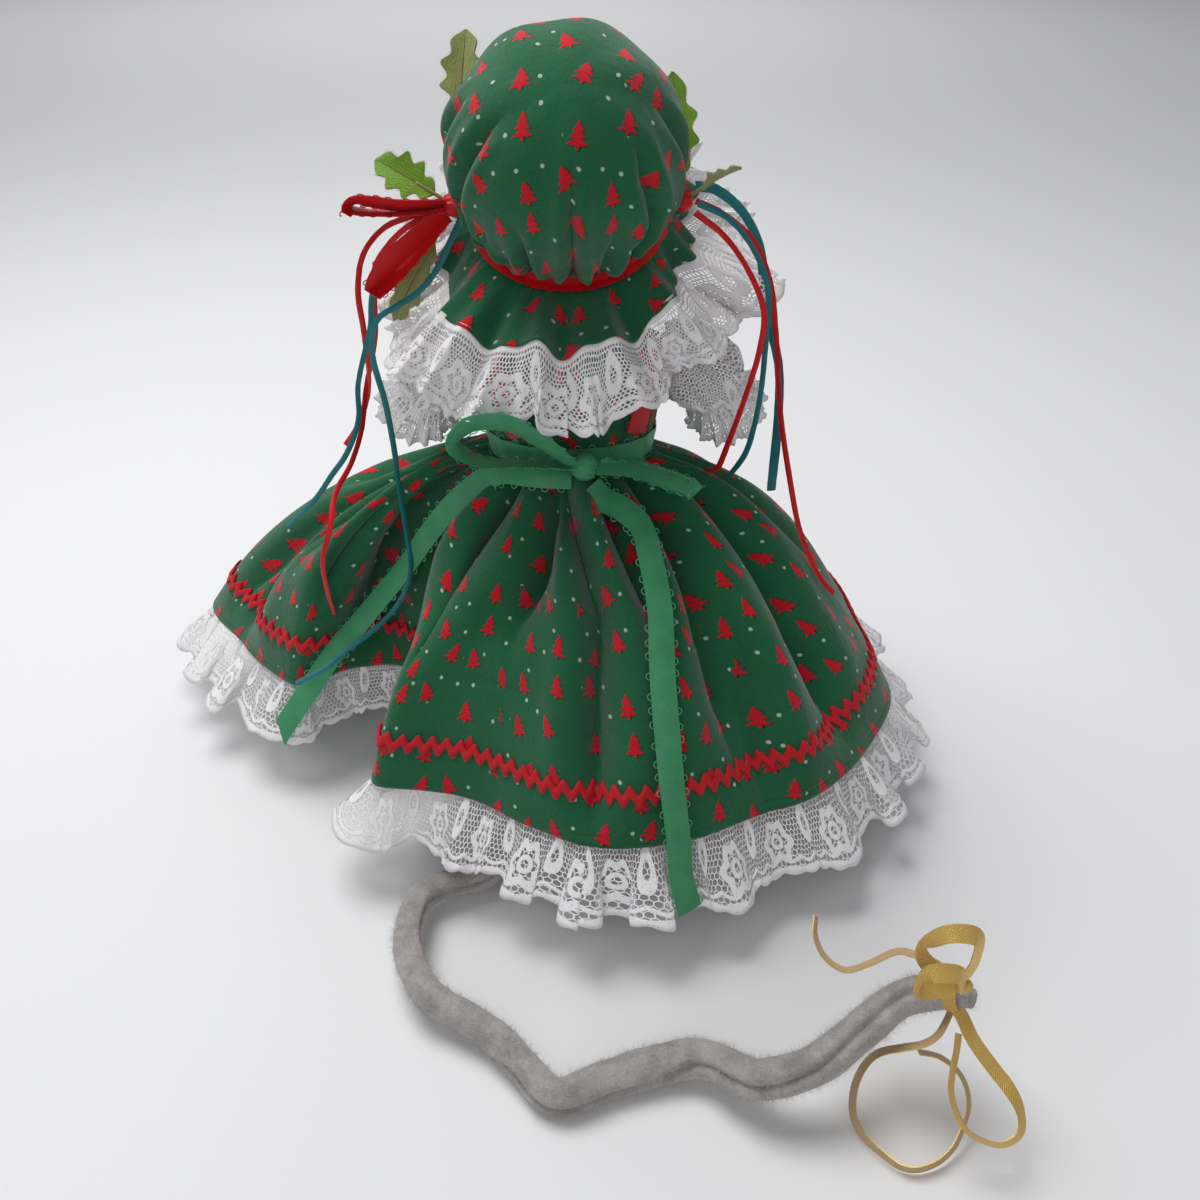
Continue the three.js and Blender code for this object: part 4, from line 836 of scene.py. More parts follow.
# %% The sash's ends
SASH_TAILS = {
    "left": [(0.5, -28.2, 151.5), (-8, -29.5, 152.6), (-15, -29, 153), (-25.5, -24.5, 151.6),
             (-42.5, -15.8, 135.6), (-55, -11.5, 119.3), (-66.7, -8.4, 101.2), (-78.6, -7.4, 85.7),
             (-89.3, -8.4, 72.7), (-99.9, -12.2, 61), (-109, -17.5, 49), (-116, -22, 40), (-123, -25, 30)],
    "right": [(7.5, -31.5, 149.4), (12, -34.5, 145.8), (19, -39.5, 144.5), (25.5, -45, 140.5),
              (28.5, -55, 134.5), (31.9, -67.5, 120), (32.7, -81, 102.5), (34.2, -92, 86.5),
              (36.1, -102, 69.5), (38.6, -110.5, 51), (39.8, -115.5, 38), (43, -120, 26)],
}
SASH_FACES = {"left": (-0.25, -0.75, 0.62), "right": (0.25, -0.85, 0.5)}
cords = {}
for name in ("left", "right"):
    line = Line(SASH_TAILS[name])
    band, edge = picot_ribbon(f"sash end {name}", line, 90, SASH_FACES[name], "frock_body", green_satin,
                              green_thread, twist=lambda s: 7 * math.sin(9 * s), cup=0.5, ripple=0.12,
                              replaced=(f"sash_tail_{name}",),
                              cut=(0.0, -7.0 if name == "left" else 1.5))
    [tuple(row(*line.at(k / 24))) for k in range(25)]
    cords[f"sash end {name}"] = line.length
print({k: round(v) for k, v in cords.items()})

# %% The streamers at the cap's sides
STREAMERS = {
    "left_red_1": [(-43, -6, 241), (-53, -4, 236), (-62, 1, 228), (-69, 4, 218), (-71, 7, 205),
                   (-73, 11, 190), (-79, 13, 168), (-83, 14.5, 150), (-88, 12, 137), (-93, 0, 129.5),
                   (-94.5, -10.5, 119), (-98, -13.4, 108), (-98, -14, 95), (-97.5, -10.5, 80)],
    "left_red_2": [(-43, -3, 242.5), (-53, -1, 238), (-64, 1, 233), (-72, 1, 224), (-75.5, 2, 211),
                   (-76, 7, 192), (-78, 13, 167), (-85, 17, 150.5), (-90, 15, 143.5)],
    "left_teal_1": [(-41, -2, 240), (-46, -2, 234.5), (-55, -2, 229), (-64, -2, 221), (-69.5, -2, 211),
                    (-72, 0, 198), (-75.5, 3, 188), (-80.5, 6, 172), (-82, 7, 158), (-88, 6, 144),
                    (-95, 6, 134.5), (-102, 5, 125), (-117.1, 10, 109)],
    "left_teal_2": [(-36, -5.5, 238.5), (-40, -6, 231), (-45, -9, 222), (-52, -12, 214.5), (-60, -12, 209.5),
                    (-67, -13, 205), (-69.5, -15, 195), (-66, -18, 175), (-65, -16, 155), (-66, -10, 142),
                    (-65, -10.5, 126), (-64, -13, 116), (-63, -16, 108), (-66, -13, 95), (-74, -9, 80),
                    (-84, -11.8, 71), (-93, -15.5, 65.5), (-102, -22, 60.5), (-113, -26, 56)],
    "right_teal_1": [(43, -3, 248), (50, 2, 246), (60, 5, 238), (67, 6, 226), (72, 7, 201), (78, 7, 180),
                     (79.5, 7, 160), (79, 6, 128)],
    "right_red_1": [(43, -9, 241), (53, -13, 234), (62, -14, 222), (68, -14, 208), (67, -17, 195),
                    (63, -18, 178), (58, -18, 160), (55, -14, 148), (52, -4, 142)],
    "right_teal_2": [(44, -7, 243.5), (54, -8, 239), (63, -7, 229), (69.5, -7, 215), (70, -10, 195),
                     (69, -13, 175), (66, -12, 155), (61, 0, 137)],
    "right_red_2": [(43.5, -2, 243), (53, 1, 238), (64, 1, 229), (71, 0, 215), (75, 0, 195), (79, 0, 165),
                    (84, -2, 140), (90, -8, 116), (97, -19, 103), (103, -20, 96)],
}
for name, points in STREAMERS.items():
    line = Line(points)
    wide = WIDE_STREAMER if name == "right_teal_1" else NARROW_STREAMER
    seed = len(name) + len(points)
    bm = ribbon_mesh(line, 80, wide, (0, -1, 0.3),
                     twist=lambda s, k=seed: 38 * math.sin(5.5 * s + k) * min(1, 5 * s), cup=0.35,
                     ripple=0.08)
    finish = teal_satin if "teal" in name else red_satin
    slot = "teal_ribbon" if "teal" in name else "red_ribbon"
    piece = make_piece(f"streamer_{name}_ribbon", bm, None, finish, replaces=(f"streamer_{name}",))
    thicken(piece, THIN_RIBBON, crisp=True)
    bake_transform(piece)
    [tuple(row(*line.at(k / 24))) for k in range(25)]
    cords[f"streamer {name}"] = line.length
print({k: round(v) for k, v in cords.items() if "streamer" in k})

# %% The gold ribbon's ends on the floor
GOLD = {
    "left": [(118.4, -174.2, 56.6), (114, -168.5, 56), (110, -162.5, 52.5), (105.8, -157.5, 48),
             (96.9, -159, 44), (90.3, -159.8, 42), (86.5, -157.8, 42), (83.1, -153.5, 43), (81.6, -147.5, 45),
             (82.4, -142.6, 48)],
    "ring": [(121, -173.2, 39.2), (115.8, -179.5, 35.5), (112.1, -180, 32), (106.4, -178.5, 28),
             (100.4, -177.1, 24), (97, -177, 20), (93.4, -179.8, 15), (91.6, -183.8, 10), (91.4, -189.2, 7),
             (94, -193.8, 4.5), (98.8, -198.9, 3.5), (103.6, -202.9, 3), (108.3, -203.9, 3),
             (115.5, -201.8, 3.5), (121.5, -197.2, 4.5), (125.4, -191.6, 7), (127.6, -187.2, 10.5),
             (127.4, -183.6, 14), (125.6, -180.3, 17), (123.2, -177.9, 18.5), (119.1, -175.7, 20),
             (112.9, -174.9, 21)],
    "drop": [(120.8, -175.9, 44.6), (122.6, -177.5, 42.1), (125, -182.5, 38.5), (128.4, -185, 34),
             (132.6, -187.5, 29), (136.4, -190.4, 25), (139.3, -193.8, 21), (140, -197.6, 18),
             (138.7, -200.5, 16), (134.8, -202.6, 15), (131.3, -203.2, 15), (126.2, -202.2, 16),
             (122.5, -200.9, 18), (120, -198.6, 21), (118.6, -195.5, 24), (117.9, -192.5, 28),
             (119.1, -188.3, 32), (120.2, -185.2, 35.5), (121.2, -181.5, 39)],
}
GOLD_TURNS = {
    "left": lambda s: -34 + 16 * s,
    "ring": lambda s: -24 - 8 * math.sin(6 * s),
    "drop": lambda s: from_table([(0, 70), (0.3, 80), (0.42, 30), (0.6, 18), (1, 24)], s),
}
for name, points in GOLD.items():
    line = Line(points)
    bm = ribbon_mesh(line, 140, GOLD_RIBBON, turned_from_sight(GOLD_TURNS[name]), cup=0.1, across_count=2)
    for vert in bm.verts:
        vert.co.z = max(vert.co.z, 0.4)
    piece = make_piece(f"gold end {name}", bm, "tail", [gold_face, gold_back],
                       replaces=(f"gold_streamer_{name}",))
    thicken(piece, THIN_RIBBON, back_material=1, crisp=True)
    [tuple(row(*line.at(k / 30))) for k in range(31)]
    cords[f"gold end {name}"] = line.length
print({k: round(v) for k, v in cords.items() if "gold" in k})

# %% [markdown]
# ## The skirt
# A gathered skirt is a straight strip, sewn into small pleats at the waist. The pleats open on the way
# down and run into broad folds at the hem. Here the pleats are small waves that fade out below the
# waist, and single valleys follow drawn routes down the skirt. The print is cut in gores, whose borders
# lie hidden in the valleys. The one deep fold at the left of the back comes from the hem line itself.

# %% Skirt
rng = random.Random(7)
SKIRT_COLUMNS, SKIRT_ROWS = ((528, 90))
fold_phase = [rng.uniform(0, 2 * math.pi) for _ in range(6)]
SKIRT_PLEATS = 48
# Valleys that run down from the waist: places along each as (down, turn), then depth and half width in mm.
VALLEYS = [
    ([(0, -0.13), (0.2, -0.14), (0.45, -0.165), (0.7, -0.17)], 6.0, 4.5),
    ([(0, -0.085), (0.2, -0.09), (0.45, -0.1), (0.6, -0.1)], 5.0, 4.0),
    ([(0, -0.028), (0.14, -0.025), (0.3, -0.03), (0.5, -0.045)], 5.5, 4.0),
    ([(0, -0.01), (0.24, 0.005), (0.42, 0.015), (0.62, 0.008), (0.92, 0.003)], 5.0, 3.2),
    ([(0, 0.045), (0.2, 0.045), (0.4, 0.05), (0.55, 0.05)], 4.5, 3.8),
    ([(0, 0.105), (0.14, 0.102), (0.32, 0.09), (0.5, 0.08), (0.8, 0.072)], 5.5, 4.2),
    ([(0, 0.19), (0.12, 0.18), (0.36, 0.16), (0.6, 0.14), (0.88, 0.132)], 5.5, 4.6),
    ([(0.55, 0.095), (0.68, 0.085), (0.98, 0.08)], 3.0, 3.6),
    ([(0, 0.24), (0.3, 0.235), (0.7, 0.22)], 5.0, 4.5),
]
for k in range(26):
    start = 0.27 + 0.58 * (k + rng.uniform(0.2, 0.8)) / 26
    drift = rng.uniform(-0.015, 0.015)
    end = rng.uniform(0.35, 0.95)
    VALLEYS.append(([(0, start), (0.5 * end, start + 0.4 * drift), (end, start + drift)],
                    rng.uniform(3.0, 5.5), rng.uniform(3.5, 5.5)))


def smooth(value):
    value = min(max(value, 0.0), 1.0)
    return value * value * (3 - 2 * value)


def girth_at(down):
    return 200.0 + 690.0 * down


def valley_height(turn, down):
    total = 0.0
    for route, depth, half in VALLEYS:
        last = route[-1][0]
        first = route[0][0]
        if down > last + 0.12 or down < first - 0.12:
            continue
        middle = from_table(route, down)
        aside = ((turn - middle + 0.5) % 1.0 - 0.5) * girth_at(down)
        wide = half * (0.7 + 1.1 * down)
        if abs(aside) > 7 * wide:
            continue
        begins = smooth((down - first + 0.12) / 0.3) if first > 0 else min(1.0, 0.25 + down * 6)
        strong = smooth((last + 0.12 - down) / 0.3) * begins
        dip = -2.5 * math.exp(-(abs(aside) / wide) ** 1.25)
        banks = 0.55 * math.exp(-((abs(aside) - 2.6 * wide) / (1.5 * wide)) ** 2)
        total += strong * depth * (dip + banks)
    return total


GORE_ROUTES = []
for route, _, _ in sorted(VALLEYS, key=lambda valley: valley[0][0][1] % 1.0):
    if not GORE_ROUTES or (route[0][1] - GORE_ROUTES[-1][0][1]) % 1.0 > 0.028:
        GORE_ROUTES.append(route)
gore_cache = {}


def gore_edges(down):
    """Where the print jumps from one gore to the next: in the valleys, where the extra cloth is hidden."""
    key = round(down, 5)
    if key not in gore_cache:
        gore_cache[key] = sorted(from_table(route, down) % 1.0 for route in GORE_ROUTES)
    return gore_cache[key]


def fold_height(turn, down):
    """How far the cloth stands out of the skirt's even swing, in mm."""
    a = 2 * math.pi * turn
    pleat = abs(math.sin(SKIRT_PLEATS * a / 2)) ** 0.7 * 2 - 1
    depth = 1.5 * (0.75 + 0.25 * math.sin(9 * a + fold_phase[4]))
    gathers = pleat * depth * max(0.0, 1 - down / (0.3 + 0.14 * math.sin(11 * a + fold_phase[5]))) ** 1.2
    gathers *= min(1, down * 14 + 0.35)
    broad = math.cos(9 * a + 1.2 * math.sin(4 * a + fold_phase[2])) * 2.2 * min(1.0, down * 1.6)
    crease = 0.45 * math.sin(23 * a + 6 * down + 2 * math.sin(2 * a + fold_phase[3]))
    dent_at = (down - 0.68 - 0.02 * math.sin(5 * a)) / 0.016
    dent = -1.3 * math.exp(-dent_at ** 2) * smooth((0.03 - abs(turn - 0.955)) / 0.02)
    return gathers + valley_height(turn, down) + broad + crease * down + dent


def skirt_laid(turn, down, outside=0.0):
    normal = skirt_normal(turn, max(down, 0.04))
    return skirt_point(turn, down) + normal * (fold_height(turn, down) + outside)


def skirt_mesh():
    def place(u, v):
        return Vector(skirt_laid(u, v))

    hem_flat = hem_line.length * 1.02
    girths = []
    for k in range(21):
        ring = [skirt_laid(j / 400, k / 20) for j in range(401)]
        girths.append((k / 20, sum(np.linalg.norm(b - a) for a, b in zip(ring, ring[1:]))))
    hem_girth = girths[-1][1]
    girths = [(down, girth / hem_girth) for down, girth in girths]

    def gore_of(u, v):
        return int(np.searchsorted(gore_edges(v), u))

    def flat(u, v, gore):
        edges = gore_edges(v)
        left = edges[gore - 1] if gore > 0 else edges[-1] - 1
        right = edges[gore] if gore < len(edges) else edges[0] + 1
        middle = (left + right) / 2
        along = middle * hem_flat + (u - middle) * hem_flat * from_table(girths, v)
        return (along, (1 - v) * SKIRT_LENGTH)

    return laid(SKIRT_COLUMNS, SKIRT_ROWS, place, flat, wrap=True, gore_of=gore_of)


skirt = make_piece("skirt cloth", skirt_mesh(), "frock_body", skirt_cotton, replaces=("skirt",))
thicken(skirt, COTTON)
print("skirt has", len(skirt.data.polygons), "faces")

# %% [markdown]
# ## Hem lace
# The lace is 1.75 times as long as the hem that it is sewn inside, so it stands in small flutes.
# Its lower edge is cut in scallops: small ones, and a broad one under each flower of its pattern.

# %% Hem lace
LACE_SPREAD = [(0, 1), (0.15, 1), (0.2, 1.1), (0.5, 1), (0.66, 1.2), (0.72, 1.1), (0.76, 0.5), (0.79, 0.1),
               (0.83, 0), (0.87, 0.15), (0.9, 0.9), (1, 1)]
LACE_DROP, LACE_FLARE = 22.5, 16.0
HEM_LACE_COLUMNS, HEM_LACE_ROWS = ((2100, 16))
LACE_FLUTES = 31
HEM_LACE_FULLNESS, HEM_LACE_WIDTH = 1.75, 27.0
HEM_LACE_FLAT = hem_line.length * HEM_LACE_FULLNESS


def scallop(along):
    """How far the lace's edge stands in from its lowest line, in mm."""
    small = 1.5 * abs(math.sin(math.pi * along / 9.0))
    broad = 2.6 * abs(math.sin(math.pi * along / 36.0))
    return 4.1 - small - broad


def hem_lace_mesh():
    top = [skirt_laid(k / HEM_LACE_COLUMNS, 0.955, -1.6) for k in range(HEM_LACE_COLUMNS + 1)]
    edge = [skirt_laid(k / HEM_LACE_COLUMNS, 1.0, -1.4) for k in range(HEM_LACE_COLUMNS + 1)]
    outs = []
    for k in range(HEM_LACE_COLUMNS + 1):
        normal = skirt_normal(k / HEM_LACE_COLUMNS, 1.0)
        normal[2] = 0
        outs.append(unit(normal))

    def place(u, v):
        k = int(round(u * HEM_LACE_COLUMNS))
        spread = from_table(LACE_SPREAD, u)
        if v < 0.12:
            return Vector(top[k] * (1 - v / 0.12) + edge[k] * (v / 0.12))
        down = (v - 0.12) / 0.88
        a = 2 * math.pi * u
        turn = LACE_FLUTES * a + 2.2 * math.sin(6 * a)
        flute = math.cos(turn) * 0.85 + 0.3 * math.cos(67 * a + 1.5 * math.sin(5 * a))
        gathers = 0.5 * math.sin(190 * a + 2 * math.sin(11 * a)) * math.exp(-down / 0.3)
        wave = (flute * (4.6 + 1.6 * math.sin(9 * a)) * down ** 0.8 + gathers) * min(1.0, spread + 0.35)
        along = u * HEM_LACE_FLAT
        length = (LACE_DROP - scallop(along) * down)
        fall = length * down
        out = LACE_FLARE * spread * down + wave
        fold = math.sin(turn) * math.cos(turn)
        along_hem = np.array([-outs[k][1], outs[k][0], 0.0])
        aside = along_hem * fold * (5.5 + 3.0 * math.sin(7 * a + 1)) * smooth(down * 1.2)
        point = edge[k] + outs[k] * out + aside
        point[2] -= fall + 0.8 * math.sin(3 * a) * down
        point[2] = max(point[2], 1.2)
        return Vector(point)

    return laid(HEM_LACE_COLUMNS, HEM_LACE_ROWS, place, lambda u, v: (u * HEM_LACE_FLAT, v * HEM_LACE_WIDTH),
                wrap=True, second=lambda u, v: (u, (1 - v) * HEM_LACE_WIDTH))


hem_lace = make_piece("hem lace cloth", hem_lace_mesh(), "frock_body", hem_lace_finish,
                      replaces=("hem_lace",))
thicken(hem_lace, LACE)
print("hem lace has", len(hem_lace.data.polygons), "faces; flat length", round(HEM_LACE_FLAT), "mm")

# %% [markdown]
# ## Zigzag braid
# The red braid is woven in a regular zigzag and sewn flat round the skirt, so it is a strip whose
# middle line swings up and down once every 5.7 mm.

# %% Zigzag braid
BRAID_PERIOD, BRAID_ABOVE = 5.7, 16.2


def braid_mesh():
    level = 1 - BRAID_ABOVE / (SKIRT_DROP * 1.12)
    samples = 1400
    ring = [skirt_laid(k / samples, level) for k in range(samples + 1)]
    run = np.concatenate([[0], np.cumsum([np.linalg.norm(b - a) for a, b in zip(ring, ring[1:])])])
    periods = int(round(run[-1] / BRAID_PERIOD))
    columns = periods * 10

    def place(u, v):
        turn = float(np.interp(u * run[-1], run, np.linspace(0, 1, samples + 1)))
        phase = (u * periods) % 1.0
        swing = 1 - 4 * abs(phase - 0.5)
        swing = math.sin(swing * math.pi / 2) * 0.75 + swing * 0.25
        shift = swing * 1.55 + (v - 0.5) * 3.7
        crown = 0.5 * (1 - (2 * v - 1) ** 2)
        return Vector(skirt_laid(turn, level - shift / (SKIRT_DROP * 1.12), 0.75 + crown))

    print("braid:", periods, "zigzags on", round(run[-1]), "mm")
    return laid(columns, 3, place, lambda u, v: (u * run[-1], v * 3.4), wrap=True)


braid = make_piece("zigzag braid", braid_mesh(), "frock_body", braid_red, replaces=("rickrack",))
thicken(braid, 0.8)

# %% [markdown]
# ## The bodice
# The bodice is a shell of the same cotton. It is gathered into the waist and the armholes, so small
# pleats run up from the waist, and it stays as thin as cloth round the neck.

# %% Bodice
def bodice_mesh():
    columns, rows = (240, 40)
    armhole = 10.2

    def place(u, v):
        level = 1.0 + 1.45 * v
        a = 2 * math.pi * u
        rise = v * 1.45
        small = 0.9 * math.sin(46 * a + 1.5 * math.sin(5 * a)) * math.exp(-rise / 0.28)
        broad = 0.7 * math.sin(17 * a + 2 * rise) * (1 - abs(v - 0.4))
        return Vector(body_point(level, u, BODICE_OUT + 0.5 * (small + broad)))

    bm = laid(columns, rows, place, lambda u, v: (u * 240.0, v * 74.0), wrap=True)
    inside = []
    for face in bm.faces:
        middle = face.calc_center_median()
        if math.hypot(middle.y, middle.z - SHOULDER) < armhole and abs(middle.x) > 20:
            inside.append(face)
    bmesh.ops.delete(bm, geom=inside, context="FACES")
    return bm


bodice = make_piece("bodice cloth", bodice_mesh(), "frock_body", frock_cotton, replaces=("bodice",))
thicken(bodice, 0.6)
print("bodice has", len(bodice.data.polygons), "faces")

# %% [markdown]
# ## Shoulder straps
# Two picot ribbons run up the back of the bodice, over the shoulders and down the front.

# %% Straps
STRAPS = {
    "left": [(0, 0.09, 1.36), (0.22, 0.12, 1.8), (0.34, 0.155, 2.15), (0.5, 0.25, 2.42), (0.66, 0.345, 2.15),
             (0.78, 0.38, 1.8), (1, 0.41, 1.36)],
    "right": [(0, 0.13, 1.36), (0.22, 0.15, 1.8), (0.34, 0.165, 2.15), (0.5, 0.25, 2.42), (0.66, 0.345, 2.15),
              (0.78, 0.38, 1.8), (1, 0.41, 1.36)],
}
for name, side in (("left", -1), ("right", 1)):
    frames = []
    steps = 60
    for i in range(steps + 1):
        share = i / steps
        turn = from_table([(a, b) for a, b, _ in STRAPS[name]], share)
        level = from_table([(a, c) for a, _, c in STRAPS[name]], share)
        outside = BODICE_OUT + 1.5 + 3 * max(0.0, level - 2)
        point = body_point(level, turn, outside)
        nearby = body_point(level, turn + 0.01, outside)
        frames.append((point * (side, 1, 1), unit((nearby - point) * (side, 1, 1))))
    middle = np.array([p for p, _ in frames])
    alongs = np.gradient(middle, axis=0)
    full = [(p, unit(c - unit(a) * np.dot(c, unit(a))), None) for (p, c), a in zip(frames, alongs)]
    full = [(p, c, unit(np.cross(c, a)) * side) for (p, c, _), a in zip(full, alongs)]
    run = float(np.linalg.norm(np.diff(middle, axis=0), axis=1).sum())

    def place(u, v, full=full):
        p, c, n = full[int(round(v * steps))]
        return Vector(p + c * (u - 0.5) * PICOT_RIBBON + n * (0.5 * (1 - (2 * u - 1) ** 2)))

    strap = make_piece(f"strap {name} ribbon",
                       laid(4, steps, place, lambda u, v, r=run: ((u - 0.5) * PICOT_RIBBON, v * r)),
                       "frock_body", red_satin, replaces=(f"strap_{name}",))
    thicken(strap, RIBBON, crisp=True)
    edge = make_piece(f"strap {name} picots", picot_loops(full, PICOT_SPACING, run), None, red_thread)
    edge.parent = strap
print("straps of", round(run), "mm")

# %% [markdown]
# ## Sleeves
# Each sleeve is a gathered tube of lace: it is drawn in at the shoulder, puffs over the upper arm, is
# drawn in again above the elbow and flares to a scalloped edge.

# %% Sleeves
ARM_SHARES = [(0, 0, 0), (0.25, 0, 0), (0.58, 0.02, 0.16), (0.86, 0.1, 0.42), (0.96, 0.3, 0.6),
              (0.72, 0.58, 0.64), (0.36, 0.84, 0.62), (0.12, 1, 0.6)]
ARM_RADII = [(0, 1), (0.45, 0.95), (0.8, 0.8), (0.88, 0.95), (0.95, 0.85), (1, 0.4)]
PUFF = [(0, 0.1), (0.12, 0.55), (0.45, 1), (0.62, 0.6), (0.7, 0), (1, 0)]
SHOULDER_X = body_half(2)[0] + 0.3
ARM_RADIUS, SLEEVE_FROM, SLEEVE_RUN, SLEEVE_ROUND, SLEEVE_LENGTH = 8.6, 3.2, 38.8, 120.0, 40.0


def arm_line(side):
    """The middle line of an arm, from the shoulder to the paw."""
    return Line([(side * (SHOULDER_X + 28 * x), 50 * y, SHOULDER - 46 * z) for x, y, z in ARM_SHARES])


for name, side in (("left", -1), ("right", 1)):
    line = arm_line(side)
    rows = 34
    frames = []
    up = np.array([0.0, 0.0, 1.0])
    for i in range(rows + 1):
        share = (SLEEVE_FROM + SLEEVE_RUN * i / rows) / line.length
        along = line.along(share)
        up = unit(up - along * np.dot(up, along))
        frames.append((line.at(share), up, np.cross(along, up), ARM_RADIUS * from_table(ARM_RADII, share)))

    def place(u, v, frames=frames):
        middle, one, two, radius = frames[int(round(v * rows))]
        flare = 6.5 * max(0.0, v - 0.7) / 0.3
        loose = 4.5 * from_table(PUFF, v) * 1.15 + flare
        a = 2 * math.pi * u
        wave = math.cos(14 * a + 1.5 * math.sin(3 * a)) * 0.5 + math.cos(31 * a) * 0.2
        out = radius + 1.0 + loose * (1 + 0.32 * wave) + 0.25 * math.sin(60 * a)
        return Vector(middle + one * out * math.cos(a) + two * out * math.sin(a))

    bm = laid(260, rows, place, lambda u, v: (u * SLEEVE_ROUND, v * SLEEVE_LENGTH), wrap=True,
              second=lambda u, v: (u, (1 - v) * SLEEVE_LENGTH + 0.4))
    sleeve = make_piece(f"{name} sleeve cloth", bm, f"{name}_arm", sleeve_lace_finish,
                        replaces=(f"{name}_sleeve",))
    thicken(sleeve, LACE)
print("sleeve length", SLEEVE_LENGTH, "mm")

# %% [markdown]
# ## Sash band, knot and bow loops
# The sash is the same green picot ribbon, tied behind. A knot of ribbon isn't a ball: it is a short
# wrap with folds that run across it, so the knot here is a squeezed tube with grooves.

# %% Sash band and bow
SASH_KNOT = np.array([5.5, -(body_half(1.15)[1] + BODICE_OUT + 0.9 + 0.3 + 0.3 + 0.8 * 5.5), 155.7])
SASH_LEFT = [(-0.12, -0.1, 0.07), (-0.3, -0.34, 0.36), (-0.6, -0.5, 0.62), (-0.86, -0.5, 0.6),
             (-1.0, -0.42, 0.4), (-0.84, -0.3, 0.2), (-0.5, -0.16, 0.1), (-0.135, -0.04, 0.01)]
SASH_RIGHT = [(0.12, -0.08, 0.05), (0.4, -0.16, 0.06), (0.72, -0.22, -0.02), (0.85, -0.23, -0.08),
              (0.86, -0.2, -0.12), (0.72, -0.15, -0.08), (0.4, -0.08, 0), (0.14, -0.03, 0.03)]


def sash_place(u, v):
    level = 1.15 + (v - 0.5) * PICOT_RIBBON / 38.0
    crumple = 0.25 * math.sin(40 * u * math.pi + 6 * v) + 0.2 * math.sin(90 * u)
    return Vector(body_point(level, u, BODICE_OUT + 1.2 + crumple * (0.3 + abs(v - 0.5))))


sash = make_piece("sash band cloth",
                  laid(200, 6, sash_place, lambda u, v: ((v - 0.5) * PICOT_RIBBON, u * 200.0), wrap=True),
                  "frock_body", green_satin, replaces=("sash_band",))
thicken(sash, RIBBON, crisp=True)
band_frames = [(body_point(1.15, k / 120, BODICE_OUT + 1.2), np.array([0.0, 0.0, 1.0]),
                unit(body_point(1.15, k / 120, BODICE_OUT + 2.2)
                     - body_point(1.15, k / 120, BODICE_OUT + 1.2))) for k in range(121)]
edge = make_piece("sash band picots", picot_loops(band_frames, PICOT_SPACING, 190.0), None, green_thread)
edge.parent = sash


def knot_mesh(centre, size, way, grooves=5):
    """A short wrap of ribbon: a barrel with grooves that run round it."""
    turn = Vector((0, 0, 1)).rotation_difference(Vector(way)).to_matrix()

    def place(u, v):
        a = 2 * math.pi * u
        t = 2 * v - 1
        out = math.sqrt(max(0.0, 1 - abs(t) ** 2.6))
        groove = 1 - 0.13 * abs(math.sin(grooves * math.pi * v + 0.8 * math.sin(a))) - 0.05 * math.sin(3 * a)
        p = Vector((size[0] * out * groove * math.cos(a), size[1] * out * groove * math.sin(a), size[2] * t))
        return turn @ p + Vector(centre)

    bm = laid(32, 24, place, lambda u, v: (v * PICOT_RIBBON, u * 30.0), wrap=True)
    close_ends(bm, face_out=False)
    return bm


make_piece("sash knot cloth", knot_mesh(SASH_KNOT, (5.2, 4.4, 5.6), (0.2, 0, 1)), "frock_body", green_satin,
           replaces=("sash_knot",))
for name, shares, face in (("left", SASH_LEFT, turned_from_sight(lambda s: 26 + 10 * math.sin(5 * s))),
                           ("right", SASH_RIGHT, turned_from_sight(lambda s: 50 - 20 * s))):
    line = Line([SASH_KNOT + np.array(s) * 44.0 for s in shares])
    picot_ribbon(f"sash loop {name} cloth", line, 70, face, "frock_body", green_satin, green_thread,
                 twist=lambda s: 4 * math.sin(8 * s), cup=0.7, ripple=0.1, replaced=(f"sash_loop_{name}",))
print("sash knot at", SASH_KNOT.round(1))

# %% [markdown]
# ## Tail
# The tail is a tube of felt over a wire, sewn along its length. The wire keeps two sharp bends. Its
# section isn't quite round: a seam makes a groove, and fibres stand out of the felt all over.

# %% Tail
TAIL_REACH, TAIL_RADIUS, TAIL_FIBRES = 192.0, 6.4, 24000
TAIL_SHARES = [(0, -0.15, 0.614), (-0.016, -0.198, 0.54), (-0.06, -0.28, 0.33), (-0.115, -0.375, 0.13),
               (-0.165, -0.445, 0.052), (-0.25, -0.48, 0.052), (-0.292, -0.515, 0.058),
               (-0.306, -0.595, 0.065), (-0.296, -0.672, 0.065), (-0.25, -0.757, 0.061),
               (-0.19, -0.79, 0.052), (-0.129, -0.828, 0.042), (-0.073, -0.885, 0.034),
               (-0.016, -0.94, 0.034), (0.068, -0.911, 0.034), (0.156, -0.882, 0.037), (0.233, -0.88, 0.047),
               (0.297, -0.93, 0.075), (0.328, -0.952, 0.095), (0.404, -0.951, 0.125), (0.482, -0.914, 0.167),
               (0.56, -0.88, 0.208), (0.629, -0.895, 0.24), (0.654, -0.916, 0.25)]
TAIL_RADII = [(0, 0.75), (0.2, 0.75), (0.62, 0.85), (0.72, 1), (0.9, 0.95), (0.97, 0.85), (0.985, 0.75),
              (1, 0.45)]
tail_root = np.array([0.0, -(body_half(0.375)[1] + 0.3), 118.0])
tail_line = Line([tail_root] + [np.array(s) * TAIL_REACH for s in TAIL_SHARES])

# Which way the seam faces along the tail, as an angle in degrees from the way to the camera.
SEAM_TURNS = [(0, -20), (0.3, -20), (0.42, -60), (0.5, -100), (0.6, -298), (0.72, -300), (0.76, -340),
              (0.82, -328), (0.88, -350), (0.95, -372), (1, -378)]


